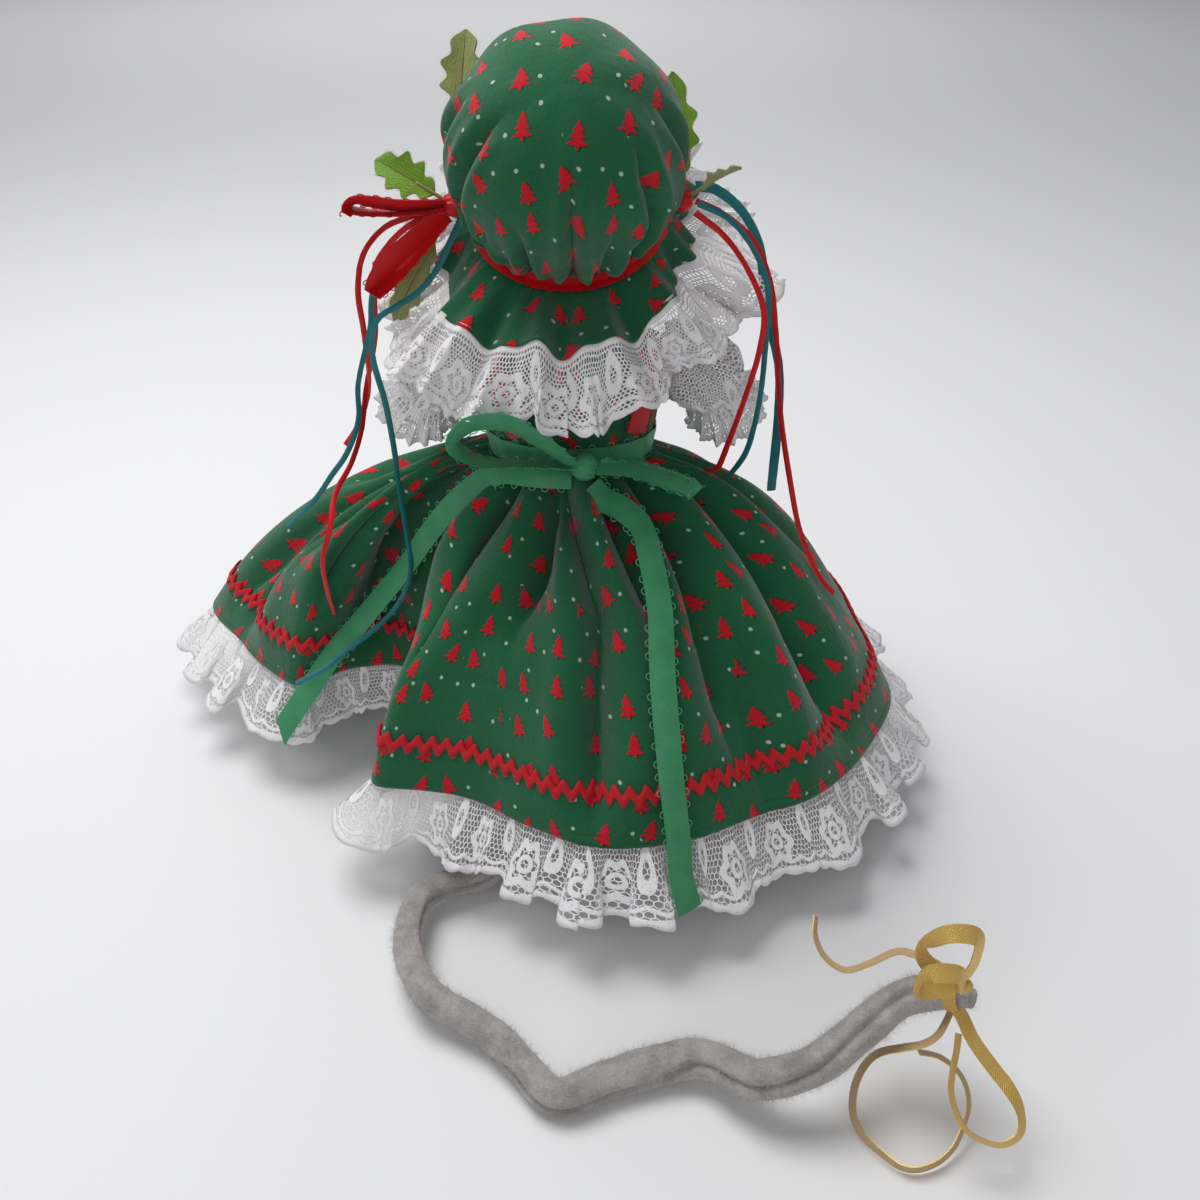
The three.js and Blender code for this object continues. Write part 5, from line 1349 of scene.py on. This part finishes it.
def tail_place(u, v):
    middle, one, two = tail_rings[int(round(v * TAIL_STEPS))]
    seam = abs(((u - from_table(SEAM_TURNS, v) / 360 + 0.5) % 1.0) - 0.5)
    groove = 1 - 0.34 * math.exp(-(seam / 0.03) ** 2) + 0.07 * math.exp(-((seam - 0.085) / 0.04) ** 2)
    lumps = 1 + 0.03 * math.sin(70 * v + 2 * math.pi * u) + 0.02 * math.sin(150 * v + 2)
    radius = TAIL_RADIUS * from_table(TAIL_RADII, v) * groove * lumps
    a = 2 * math.pi * u
    point = middle + (one * math.cos(a) + two * math.sin(a)) * radius
    point[2] = max(point[2], 0.35)
    return Vector(point)


TAIL_STEPS = 420
tail_rings = []
for k in range(TAIL_STEPS + 1):
    middle, along = tail_line.at(k / TAIL_STEPS), tail_line.along(k / TAIL_STEPS)
    one = unit(CAMERA_AT - middle)
    one = unit(one - along * np.dot(one, along))
    tail_rings.append((middle, one, np.cross(along, one)))
bm = laid(48, TAIL_STEPS, tail_place, lambda u, v: (u * 36.0, v * tail_line.length), wrap=True)
close_ends(bm)
tail = make_piece("tail felt", bm, "tail", grey_felt, replaces=("tail",))
print("tail is", round(tail_line.length), "mm long")


def fuzz_on(piece_name, points, body, finish, length=(1.0, 2.6), seed=3):
    """Loose fibres: thin pointed blades that stand out of the felt at every angle."""
    pick = random.Random(seed)
    stems = []
    for point, normal in points:
        side = unit(np.cross(normal, (pick.uniform(-1, 1), pick.uniform(-1, 1), pick.uniform(-1, 1))))
        way = unit(np.array(normal) * pick.uniform(0.2, 1.0) + side * pick.uniform(-1.2, 1.2)
                   + np.array([0, 0, 0.15]))
        stems.append((np.array(point), side, way * pick.uniform(*length), unit(np.cross(way, side))))

    def place(k, u, v):
        base, side, way, bend = stems[k]
        thick = 0.11 * (1 - 0.92 * v)
        point = base + side * (u - 0.5) * thick + way * v + bend * 0.35 * float(np.linalg.norm(way)) * v * v
        point[2] = max(point[2], 0.15)
        return Vector(point)

    return make_piece(piece_name, strips(len(stems), 1, 2, place), body, finish)


def surface_points(piece, count, seed=5):
    """Points spread evenly over a piece, in millimetres in the doll's frame, with their normals."""
    mesh = piece.data
    mesh.calc_loop_triangles()
    areas = np.array([t.area for t in mesh.loop_triangles])
    pick = np.random.default_rng(seed)
    chosen = pick.choice(len(areas), count, p=areas / areas.sum())
    out = []
    for c in chosen:
        tri = mesh.loop_triangles[int(c)]
        a, b, d = (np.array(mesh.vertices[i].co) for i in tri.vertices)
        r, s = pick.random(2)
        if r + s > 1:
            r, s = 1 - r, 1 - s
        point = (a + (b - a) * r + (d - a) * s) / MM - np.array([AXIS_X, AXIS_Y, 0])
        out.append((point, np.array(tri.normal)))
    return out


tail_fuzz = fuzz_on("tail fibres", surface_points(tail, TAIL_FIBRES), "tail", fibre_felt,
                    length=(1.2, 3.4))
tail_fuzz.parent = tail

# %% [markdown]
# ## Gold bow
# A metal ribbon is springy: it stands in open loops rather than lying down. Its face is a bright
# weave and its back is tan, so the back is a second material that the thickness modifier puts there.

# %% Gold bow
gold_share = 0.985
gold_at = tail_line.at(gold_share)
gold_way = tail_line.along(gold_share)
gold_radius = TAIL_RADIUS * from_table(TAIL_RADII, gold_share)
wrap_one = unit(np.array([0, 0, 1]) - gold_way * gold_way[2])
wrap_two = np.cross(gold_way, wrap_one)


def wrap_place(u, v):
    a = 2 * math.pi * u
    out = gold_radius + 0.75 + 0.15 * math.sin(3 * a)
    outwards = wrap_one * math.cos(a) + wrap_two * math.sin(a)
    return Vector(gold_at + gold_way * (v - 0.5) * GOLD_RIBBON + outwards * out)


wrap = make_piece("gold wrap ribbon",
                  laid(48, 3, wrap_place, lambda u, v: (v * GOLD_RIBBON, u * 36.0), wrap=True), "tail",
                  [gold_face, gold_back], replaces=("gold_wrap",))
thicken(wrap, THIN_RIBBON, back_material=1, crisp=True)
rise = gold_radius + 0.6 + 0.6 + 0.6 + 3.6
gold_knot = gold_at + np.array([0, -rise * 0.5, rise * 0.9])
knot = make_piece("gold knot", knot_mesh(gold_knot, (2.5, 2.2, 3.0), (0.9, 0, 0.4), 3), "tail", gold_face,
                  replaces=("gold_bow",))
GOLD_LOOPS = [
    [(-0.08, 0, 0.1), (-0.36, 0, 0.28), (-0.5, 0, 0.55), (-0.28, 0, 0.76), (0.02, 0, 0.72), (0.06, 0, 0.42),
     (0, 0, 0.1)],
    [(-0.1, -0.05, 0.04), (-0.5, -0.16, 0.16), (-0.44, -0.16, 0.36), (-0.14, -0.14, 0.34),
     (-0.02, -0.07, 0.08)],
]
for k, shares in enumerate(GOLD_LOOPS):
    line = Line([gold_knot + np.array(s) * 30.0 for s in shares])
    loop = make_piece(f"gold loop {k}", ribbon_mesh(line, 60, 5.6, (0.5, -0.6, 0.6), across_count=2, cup=0.1),
                      None, [gold_face, gold_back])
    thicken(loop, THIN_RIBBON, back_material=1, crisp=True)
    loop.parent = knot
print("gold bow at", gold_at.round(1))

# %% [markdown]
# ## Head and ears
# The head is felt stuffed with wadding. Only its chin side shows between the cap and the lace from
# behind, but the doll is looked at from all sides, so it gets its face too: a smooth muzzle, stitched
# nose, bead eyes and whiskers. The ears are flat pink felt.

# %% Head
HEAD_SHARES = [(-0.98, 0.18, 0), (-0.86, 0.5, 0), (-0.6, 0.8, 0), (-0.25, 0.97, 0), (0.15, 0.99, 0),
               (0.5, 0.866, 0), (0.8, 0.68, 0.06), (1.1, 0.5, 0.13), (1.4, 0.36, 0.18), (1.65, 0.27, 0.2),
               (1.82, 0.14, 0.2)]
HEAD_FIBRES = 9000
forwards = np.array([a for a, _, _ in HEAD_SHARES])


def head_place(u, v):
    forward = -0.98 + 2.8 * v
    radius = float(np.interp(forward, forwards, [b for _, b, _ in HEAD_SHARES]))
    drop = float(np.interp(forward, forwards, [c for _, _, c in HEAD_SHARES]))
    a = 2 * math.pi * u
    seam = 1 - 0.012 * math.exp(-((u - 0.5) / 0.012) ** 2)
    return Vector(np.array([radius * seam * math.sin(a), forward, radius * seam * math.cos(a) - drop])
                  * (HEAD_RADIUS - 0.3) + HEAD_CENTRE)


bm = laid(48, 40, head_place, lambda u, v: (u * 200.0, v * 90.0), wrap=True)
close_ends(bm, face_out=False)
bmesh.ops.smooth_vert(bm, verts=bm.verts, factor=0.5, use_axis_x=True, use_axis_y=True, use_axis_z=True)
bmesh.ops.recalc_face_normals(bm, faces=bm.faces)
head = make_piece("head felt", bm, "head", grey_felt, replaces=("head",))
head_fuzz = fuzz_on("head fibres", surface_points(head, HEAD_FIBRES, 8), "head", fibre_felt,
                    length=(0.6, 1.6), seed=9)
head_fuzz.parent = head
print("head is", round(2.8 * HEAD_RADIUS), "mm long")


# %% [markdown]
# ## Body, arms, legs, ears and nose
# These are sewn from felt as well. They are stuffed tubes, so each is a grid rolled round a line, and
# the ears are cut flat from pink felt. They hide under the clothes from behind.

# %% Body and limbs
def body_place(u, v):
    level = 0.004 + 2.98 * v
    seam = 1 - 0.014 * math.exp(-((u - 0.5) / 0.012) ** 2)
    point = body_point(level, u, -0.8)
    point[:2] *= seam
    return Vector(point)


bm = laid(48, 60, body_place, lambda u, v: (u * 190.0, v * 120.0), wrap=True)
close_ends(bm)
body = make_piece("body_felt", bm, "frock_body", grey_felt, replaces=("body",))
HIP_X, THIGH, FOOT_BOTTOM = 19.0, 10.5, 2.3
LEG_RADII = [(0, 1), (0.35, 0.95), (0.7, 0.78), (1, 0.72)]


def leg_radius(share, u):
    top = min(1.0, share / 0.11)
    round_top = math.sqrt(max(0.02, 1 - (1 - top) ** 2))
    return THIGH * from_table(LEG_RADII, max(0.0, (share - 0.11) / 0.89)) * round_top


def foot_piece(side):
    bm = bmesh.new()
    bmesh.ops.create_uvsphere(bm, u_segments=40, v_segments=24, radius=1.0)
    bmesh.ops.scale(bm, verts=bm.verts, vec=(11.4, 26.8, 13.0))
    bmesh.ops.bisect_plane(bm, geom=bm.verts[:] + bm.edges[:] + bm.faces[:], plane_co=(0, 0, 0),
                           plane_no=(0, 0, -1), clear_outer=True)
    close_ends(bm, face_out=False)
    bmesh.ops.translate(bm, verts=bm.verts, vec=(side * HIP_X, SOLE_FORWARD, FOOT_BOTTOM))
    return bm


for name, side in (("left", -1), ("right", 1)):
    line = Line([(side * HIP_X, 0, HIP + THIGH - 0.2), (side * HIP_X, 0, 50),
                 (side * HIP_X, 0, FOOT_BOTTOM + 4)])
    leg = make_piece(f"{name}_leg_felt", tube(line, 60, 32, leg_radius, start_up=(0, 1, 0)), f"{name}_leg",
                     grey_felt, replaces=(f"{name}_leg",))
    foot = make_piece(f"{name}_foot_felt", foot_piece(side), None, grey_felt)
    foot.parent = leg
print("body and legs made")


# %% Arms, ears and nose
def ear_mesh(side):
    def place(u, v):
        share = 2 * u - 1
        angle = 2 * math.pi * (0.34 + 0.072 * share)
        reach = CAP_RADIUS + 0.7 + 9.3 * max(0.0, 1 - share ** 2) ** 0.25 * v
        cup = 1.2 * (1 - share ** 2) * v
        flat = -FOREHEAD * math.cos(angle) + np.array([side * math.sin(angle), 0, 0])
        return Vector(CAP_CENTRE + flat * reach + CAP_AXIS * (-2.8 + 0.3 * cup))

    return laid(24, 10, place, lambda u, v: (u * 30.0, v * 10.0))


for name, side in (("left", -1), ("right", 1)):
    line = arm_line(side)
    arm = make_piece(f"{name}_arm_felt",
                     tube(line, 80, 32,
                          lambda s, u: ARM_RADIUS * from_table(ARM_RADII, s) * min(1.0, 0.6 + 8 * s)),
                     f"{name}_arm", grey_felt, replaces=(f"{name}_arm",))
    thumb_line = Line([line.at(0.9) + np.array([0, 0, 2.0]), line.at(0.9) + np.array([0, 0, 13.0])])
    thumb = make_piece(f"{name}_thumb_felt",
                       tube(thumb_line, 12, 20, lambda s, u: 3.6 * math.sqrt(max(0.03, 1 - s ** 3)),
                            start_up=(0, 1, 0)), None, grey_felt)
    thumb.parent = arm
    ear = make_piece(f"{name}_ear_felt", ear_mesh(side), "head", pink_felt, replaces=(f"{name}_ear",))
    thicken(ear, 2.2, crisp=True)
nose_bm = bmesh.new()
bmesh.ops.create_uvsphere(nose_bm, u_segments=24, v_segments=16, radius=4.1)
bmesh.ops.translate(nose_bm, verts=nose_bm.verts,
                    vec=(0, HEAD_CENTRE[1] + 1.82 * HEAD_RADIUS, HEAD_CENTRE[2] - 0.2 * HEAD_RADIUS))
make_piece("nose_felt", nose_bm, "head", nose_felt, replaces=("nose",))


def whisker(k):
    side = -1 if k % 2 else 1
    start = HEAD_CENTRE + np.array([side * 7.5, 1.5 * HEAD_RADIUS, -8.0 + 2.2 * (k // 2)])
    end = start + np.array([side * 27.0, 2.0 + 1.5 * k, 5.0 - 3.0 * (k // 2)])
    middle = (start + end) / 2 + np.array([0, 1.5, 2.5])
    return tube(Line([start, middle, end]), 12, 6, lambda s, u: 0.22 * (1.15 - s))


for k in range(6):
    make_piece(f"whisker_{k}", whisker(k), "head", whisker_thread)
print("arms, ears, nose and whiskers made")

# %% Better materials for the pieces whose shape is right
def refinish(node, finish, smooth=False):
    piece = bpy.data.objects[node]
    piece.data.materials.clear()
    piece.data.materials.append(finish)
    for face in piece.data.polygons:
        face.use_smooth = smooth


for node in ("body_frame", "tail_wire", "left_leg_wire", "right_leg_wire", "left_arm_wire", "right_arm_wire"):
    refinish(node, steel_wire)
for node in ("left_eye", "right_eye"):
    refinish(node, black_bead, smooth=True)
for node in ("left_sole", "right_sole"):
    refinish(node, sole_felt)
print("frame pieces have their finishes")

# %% [markdown]
# ## Cap crown
# A mob cap's crown is a disc whose edge is drawn together by a thread, so pleats start sharp and deep
# at the band and fade out towards the top. The gathers aren't even: some lie double.

# %% Cap crown
crown_rng = random.Random(11)
crown_phase = [crown_rng.uniform(0, 6.28) for _ in range(6)]
CROWN_FLAT = 74.0
CROWN_LAST = math.acos(-CROWN_ABOVE / CROWN_RADIUS)
CROWN_COLUMNS, CROWN_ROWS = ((384, 96))

# Creases down the crown: places along each as (down, turn), then its depth and half width in mm.
CREASES = [
    ([(0.3, 0.02), (0.57, 0.01), (0.9, 0.01), (1, 0.005)], 2.4, 1.8),
    ([(0.3, -0.19), (0.76, -0.175), (0.9, -0.14), (0.96, -0.1)], 2.8, 2.4),
    ([(0.35, 0.165), (0.51, 0.14), (0.72, 0.135), (0.95, 0.09)], 2.8, 2.4),
    ([(0.62, -0.07), (0.8, -0.06), (1, -0.045)], 1.8, 1.8),
    ([(0.66, 0.07), (0.85, 0.055), (1, 0.05)], 1.8, 1.8),
    ([(0.45, 0.25), (0.7, 0.235), (1, 0.22)], 2.6, 2.4),
    ([(0.45, -0.27), (0.7, -0.25), (1, -0.22)], 2.6, 2.4),
]
for k in range(30):
    place_now = (k + crown_rng.uniform(0.2, 0.8)) / 30
    CREASES.append(([(crown_rng.uniform(0.7, 0.86), place_now + crown_rng.uniform(-0.01, 0.01)),
                     (1, place_now)], crown_rng.uniform(0.4, 1.0), 1.3))


def crease_height(turn, down):
    total = 0.0
    for route, depth, half in CREASES:
        first = route[0][0]
        if down < first - 0.1:
            continue
        apart = (turn - from_table(route, down) + 0.5) % 1.0 - 0.5
        aside = apart * 2 * math.pi * 38 * math.sin(min(1.5, 0.3 + 1.6 * down))
        if abs(aside) > 6 * half:
            continue
        strong = smooth((down - first + 0.1) / 0.35)
        dip = -math.exp(-(abs(aside) / half) ** 1.2)
        banks = 0.45 * math.exp(-((abs(aside) - 2.3 * half) / (1.3 * half)) ** 2)
        total += 1.6 * strong * depth * (dip + banks)
    return total


def crown_place(u, v):
    angle = CROWN_LAST * v
    a = 2 * math.pi * u
    broad = math.sin(7 * a + crown_phase[2] + 2 * v) * 0.8 * math.sin(math.pi * min(1, v * 1.1))
    near_band = smooth((v - 0.8) / 0.2)
    fine = math.sin(58 * a + 3 * math.sin(5 * a)) * 0.35 * near_band
    tuck = -2.2 * smooth((v - 0.93) / 0.07)
    radius = CROWN_RADIUS + 0.2
    out = radius * math.sin(angle) + crease_height(u, v) + broad + fine + tuck
    behind = CROWN_ABOVE + radius * math.cos(angle)
    lift = CROWN_LIFT * min(1.0, behind / CROWN_ABOVE)
    return Vector(cap_point(u, out, behind) + FOREHEAD * lift)


bm = laid(CROWN_COLUMNS, CROWN_ROWS, crown_place,
          lambda u, v: (math.sin(2 * math.pi * u) * v * CROWN_FLAT,
                        -math.cos(2 * math.pi * u) * v * CROWN_FLAT), wrap=True)
crown = make_piece("cap crown cloth", bm, "head", frock_cotton, replaces=("cap_crown",))
thicken(crown, COTTON, offset=-1)
print("crown has", len(crown.data.polygons), "faces")

# %% [markdown]
# ## The red band
# A satin ribbon hides the seam: half of it goes round the band, half lies out on the brim.

# %% Cap band
def band_place(u, v):
    a = 2 * math.pi * u
    low = 0.45
    ripple = 0.2 * math.sin(38 * a + 3 * math.sin(4 * a))
    down = cap_point(u, CAP_RADIUS + 0.9 + ripple * 0.5, 2.2 - 5.6 * min(1.0, v / low))
    further = 2.8 * max(0.0, v - low) / (1 - low)
    return Vector(down + brim_way(BRIM_TURNS, u) * further + brim_way(BRIM_TURNS, u, -1) * ripple * (1 + v))


cap_band = make_piece("cap_band_ribbon",
                      laid(360, 8, band_place, lambda u, v: (v * 8.0, u * 220.0), wrap=True), "head",
                      red_satin, replaces=("cap_band",))
thicken(cap_band, RIBBON, crisp=True)
print("band laid")

# %% [markdown]
# ## Cap brim and its lace
# The brim is a ruffle that runs from the band forward over the face, and straight out at the nape. Its
# lace is gathered a second time and stands in deeper flutes.

# %% Brim
BRIM_FLAT, BRIM_WIDTH, BRIM_OUT = 330.0, 28.0, 27.0
BRIM_REACH = [(0, 1), (0.04, 0.95), (0.09, 0.74), (0.14, 0.64), (0.19, 0.78), (0.26, 1), (1, 1)]
LACE_REACH = [(0, 1), (0.04, 1), (0.075, 0.85), (0.11, 0.95), (0.15, 1.2), (0.2, 1.3), (0.27, 0.95),
              (0.33, 1), (0.39, 0.9), (0.43, 0.5), (0.57, 0.5), (0.61, 0.9), (0.85, 1), (0.9, 1.15), (1, 1)]


def brim_place(u, v):
    start = -(5.0 + 0.6 + 0.6)
    a = 2 * math.pi * u
    flute = math.cos(13 * a + 0.9 * math.sin(3 * a)) + 0.45 * math.cos(29 * a + 1)
    gathers = 0.6 * math.sin(75 * a + 2 * math.sin(7 * a)) * math.exp(-v / 0.22)
    way = brim_way(BRIM_TURNS, u)
    across = brim_way(BRIM_TURNS, u, 1)
    out = way * BRIM_OUT * from_table(BRIM_REACH, u) * v
    return Vector(cap_point(u, CAP_RADIUS, start) + out + across * (flute * 4.6 * v ** 0.9 + gathers))


brim = make_piece("cap brim cloth",
                  laid(360, 28, brim_place, lambda u, v: (u * BRIM_FLAT, -v * BRIM_WIDTH), wrap=True), "head",
                  frock_cotton, replaces=("cap_brim",))
thicken(brim, COTTON)
BRIM_LACE_COLUMNS, BRIM_LACE_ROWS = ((1100, 14))
BRIM_LACE_FLAT, BRIM_LACE_WIDTH = 640.0, 26.0


def brim_lace_place(u, v):
    a = 2 * math.pi * u
    edge = np.array(brim_place(u, 1.0))
    turns = LACE_TURNS if u < 0.5 else LACE_TURNS_LEFT
    way = brim_way(turns, u)
    across = brim_way(turns, u, 1)
    side = min(1.0, abs(min(u, 1 - u) - 0.24) / 0.1 + 0.35)
    flute = math.cos(20 * a + 2.6 * math.sin(4 * a)) + 0.55 * math.cos(47 * a + 1) + 0.25 * math.cos(97 * a)
    aside = math.sin(16 * a + 2 * math.sin(5 * a)) * 3.0 * v
    along = u * BRIM_LACE_FLAT
    length = 25.0 * from_table(LACE_REACH, u) + 2.5 * math.sin(5 * a + 1) + 1.5 * math.sin(11 * a)
    length -= scallop(along * 9.0 / 7.5) * v
    down = (1.0 + length * v)
    start = edge + brim_way(BRIM_TURNS, u) * (-1.5 + 2.4 * min(1.0, v * 6))
    return Vector(start + way * down * min(1.0, 0.2 + v * 8) + across * flute * side * 4.2 * v ** 0.8
                  + np.cross(way, across) * aside)


brim_lace = make_piece("brim lace cloth",
                       laid(BRIM_LACE_COLUMNS, BRIM_LACE_ROWS, brim_lace_place,
                            lambda u, v: (u * BRIM_LACE_FLAT, v * BRIM_LACE_WIDTH), wrap=True,
                            second=lambda u, v: (u, (1 - v) * BRIM_LACE_WIDTH)), "head", brim_lace_finish,
                       replaces=("brim_lace",))
thicken(brim_lace, LACE)
print("brim lace has", len(brim_lace.data.polygons), "faces")

# %% [markdown]
# ## Holly leaves and the red bow
# Each leaf is two layers of stiffened cloth with a lobed outline and a wire stem. Cream fibres stand
# out of its cut edge. The red bow's loops are picot ribbon held by the same knot.

# %% Leaves
SPRIG_TURNS = {"left": 0.785, "right": 0.222}
LEAF_OUTLINE = [(0, 0.1), (0.12, 0.5), (0.22, 0.42), (0.34, 0.9), (0.46, 0.62), (0.6, 0.92), (0.72, 0.5),
                (0.84, 0.56), (1, 0.06)]
LEAF_LENGTH, LEAF_WIDTH, LEAF_FIBRES = 34.0, 16.0, 260
outline = Line([(x, y, 0) for x, y in LEAF_OUTLINE])
outline_x, outline_y = outline.points[:, 0], outline.points[:, 1]


def sprig_knot(name):
    return cap_point(SPRIG_TURNS[name], CAP_RADIUS + 0.3 + 0.3 + 4.0, -0.3 - 2.5 + 2.0)


def leaf_piece(name, node, knot, way, face, length_share, stem_share, finish, seed):
    along = unit(way)
    across = unit(np.cross(along, face))
    upward = np.cross(across, along)
    start = knot + along * 4.3
    base = start + along * stem_share * LEAF_LENGTH
    length = LEAF_LENGTH * length_share
    pick = random.Random(seed)
    curl = pick.uniform(0.5, 1.6)

    def place(u, v):
        half = float(np.interp(v, outline_x, outline_y))
        edge = 2 * u - 1
        ruffle = 0.5 * math.sin(9 * v + seed) * edge ** 2
        lift = LEAF_WIDTH / 8 * abs(edge) * half + ruffle - curl * (v - 0.4) ** 2 * 2
        return Vector(base + along * length * v + across * edge * half * LEAF_WIDTH / 2 + upward * lift)

    bm = laid(14, 44, place, lambda u, v: ((2 * u - 1), v))
    leaf = make_piece(name, bm, "head", finish, replaces=(node,))
    thicken(leaf, 0.6, crisp=True)
    stem_line = Line([start - along * 2.5, base, base + along * length * 0.3])
    stem = make_piece(name + " stem", tube(stem_line, 10, 8, lambda s, u: 0.7), None, olive_leaf)
    stem.parent = leaf
    blades = []
    for side in (0.0, 1.0):
        for _ in range(LEAF_FIBRES):
            v = 0.02 + 0.97 * pick.random()
            p = np.array(place(side, v)) + np.array([pick.uniform(-0.2, 0.2) for _ in range(3)])
            out = across * (1 if side > 0.5 else -1)
            blades.append((p, out))
    fuzz = fuzz_on(name + " fibres", blades, None, cream_fuzz, length=(0.5, 1.5), seed=seed)
    fuzz.parent = leaf


left_knot, right_knot = sprig_knot("left"), sprig_knot("right")
# Side and place, the way it points, the way it faces, its length and stem as shares, and its finish.
LEAVES = [
    ("left", "top", (0.08, 0.5, 0.88), (-0.15, -0.95, 0.2), 0.85, 0.72, olive_leaf),
    ("left", "middle", (-0.86, 0.3, 0.42), (0.1, -0.85, 0.5), 0.68, 0.1, bright_leaf),
    ("left", "low", (-0.5, 0.2, -0.85), (-0.3, -0.85, 0.4), 1.05, 0.35, olive_leaf),
    ("right", "top", (-0.08, 0.45, 0.89), (0.5, -0.8, 0.3), 1.0, 0.1, bright_leaf),
    ("right", "side", (0.8, -0.1, 0.5), (-0.1, 0.35, 1), 0.42, 0.1, olive_leaf),
]
for k, (side, where, way, face, length_share, stem_share, finish) in enumerate(LEAVES):
    knot_at = left_knot if side == "left" else right_knot
    leaf_piece(f"{side} {where} leaf", f"leaf_{side}_{where}", knot_at, way, face, length_share, stem_share,
               finish, k + 1)

# %% Red bow and the knots
RED_LOOPS = [
    [(-0.06, -0.05, 0.02), (-0.5, -0.1, 0.02), (-0.95, -0.1, 0.06), (-1.02, -0.06, -0.02),
     (-0.6, -0.02, -0.08), (-0.08, 0, -0.04)],
    [(-0.06, -0.05, -0.08), (-0.4, -0.14, -0.3), (-0.74, -0.14, -0.62), (-0.84, -0.1, -0.82),
     (-0.66, -0.05, -0.7), (-0.08, 0, -0.12)],
]
red_knot = make_piece("red bow knot", knot_mesh(left_knot, (3.8, 3.8, 4.0), (0, 0.7, 0.7), 4), "head",
                      red_satin, replaces=("red_bow",))
for k, shares in enumerate(RED_LOOPS):
    line = Line([left_knot + np.array(s) * 34.0 for s in shares])
    way = turned_from_sight(lambda s, k=k: (17 + 6 * math.sin(6 * s)) if k == 0
                            else (34 + 10 * math.sin(4 * s)))
    loop = make_piece(f"red loop {k}", ribbon_mesh(line, 60, PICOT_RIBBON, way, cup=0.4, across_count=4),
                      None, red_satin)
    thicken(loop, RIBBON, crisp=True)
    loop.parent = red_knot
    edge = make_piece(f"red loop {k} picots", picot_loops(ribbon_frames(line, 60, way), 5.0, line.length),
                      None, red_thread)
    edge.parent = red_knot
make_piece("right sprig knot", knot_mesh(right_knot, (3.8, 3.8, 4.0), (0, 0.7, 0.7), 4), "head", red_satin,
           replaces=("sprig_knot",))
print("knots at", left_knot.round(1), right_knot.round(1))
# %% [markdown]
# ## Floor and light
# The doll stands on a plain pale floor. One large soft lamp hangs above and a little beyond the doll, a
# weak one fills from the camera's side, and a third lights the floor far beyond.

# %% Floor
floor_bm = bmesh.new()
bmesh.ops.create_grid(floor_bm, x_segments=2, y_segments=2, size=3.0)
floor_mesh = bpy.data.meshes.new("floor")
floor_bm.to_mesh(floor_mesh)
floor_bm.free()
floor = bpy.data.objects.new("floor", floor_mesh)
bpy.context.scene.collection.objects.link(floor)
floor_finish = Finish("pale floor", roughness=0.9, specular=0.1)
floor_finish.colour(shade(236, 236, 237))
floor_mesh.materials.append(floor_finish.material)

# %% Lights
def lamp(name, location, target, size, power):
    data = bpy.data.lights.new(name, "AREA")
    data.shape = "DISK"
    data.size = size
    data.energy = power
    light = bpy.data.objects.new(name, data)
    bpy.context.scene.collection.objects.link(light)
    light.location = location
    light.rotation_euler = (Vector(target) - Vector(location)).to_track_quat("-Z", "Y").to_euler()


centre = row(0, 0, 120)
lamp("overhead", row(-320, 210, 1200), centre, 0.9, 12.0)
lamp("fill", row(-100, -1300, 900), centre, 1.2, 4.0)
lamp("far", row(-300, 2500, 1500), row(-300, 2500, 0), 2.0, 17.0)
world = bpy.data.worlds.new("studio")
bpy.context.scene.world = world
world.use_nodes = True
background = world.node_tree.nodes["Background"]
background.inputs["Color"].default_value = shade(236, 238, 242)
background.inputs["Strength"].default_value = 0.26
bpy.context.scene.view_settings.view_transform = "Standard"
print("lit")
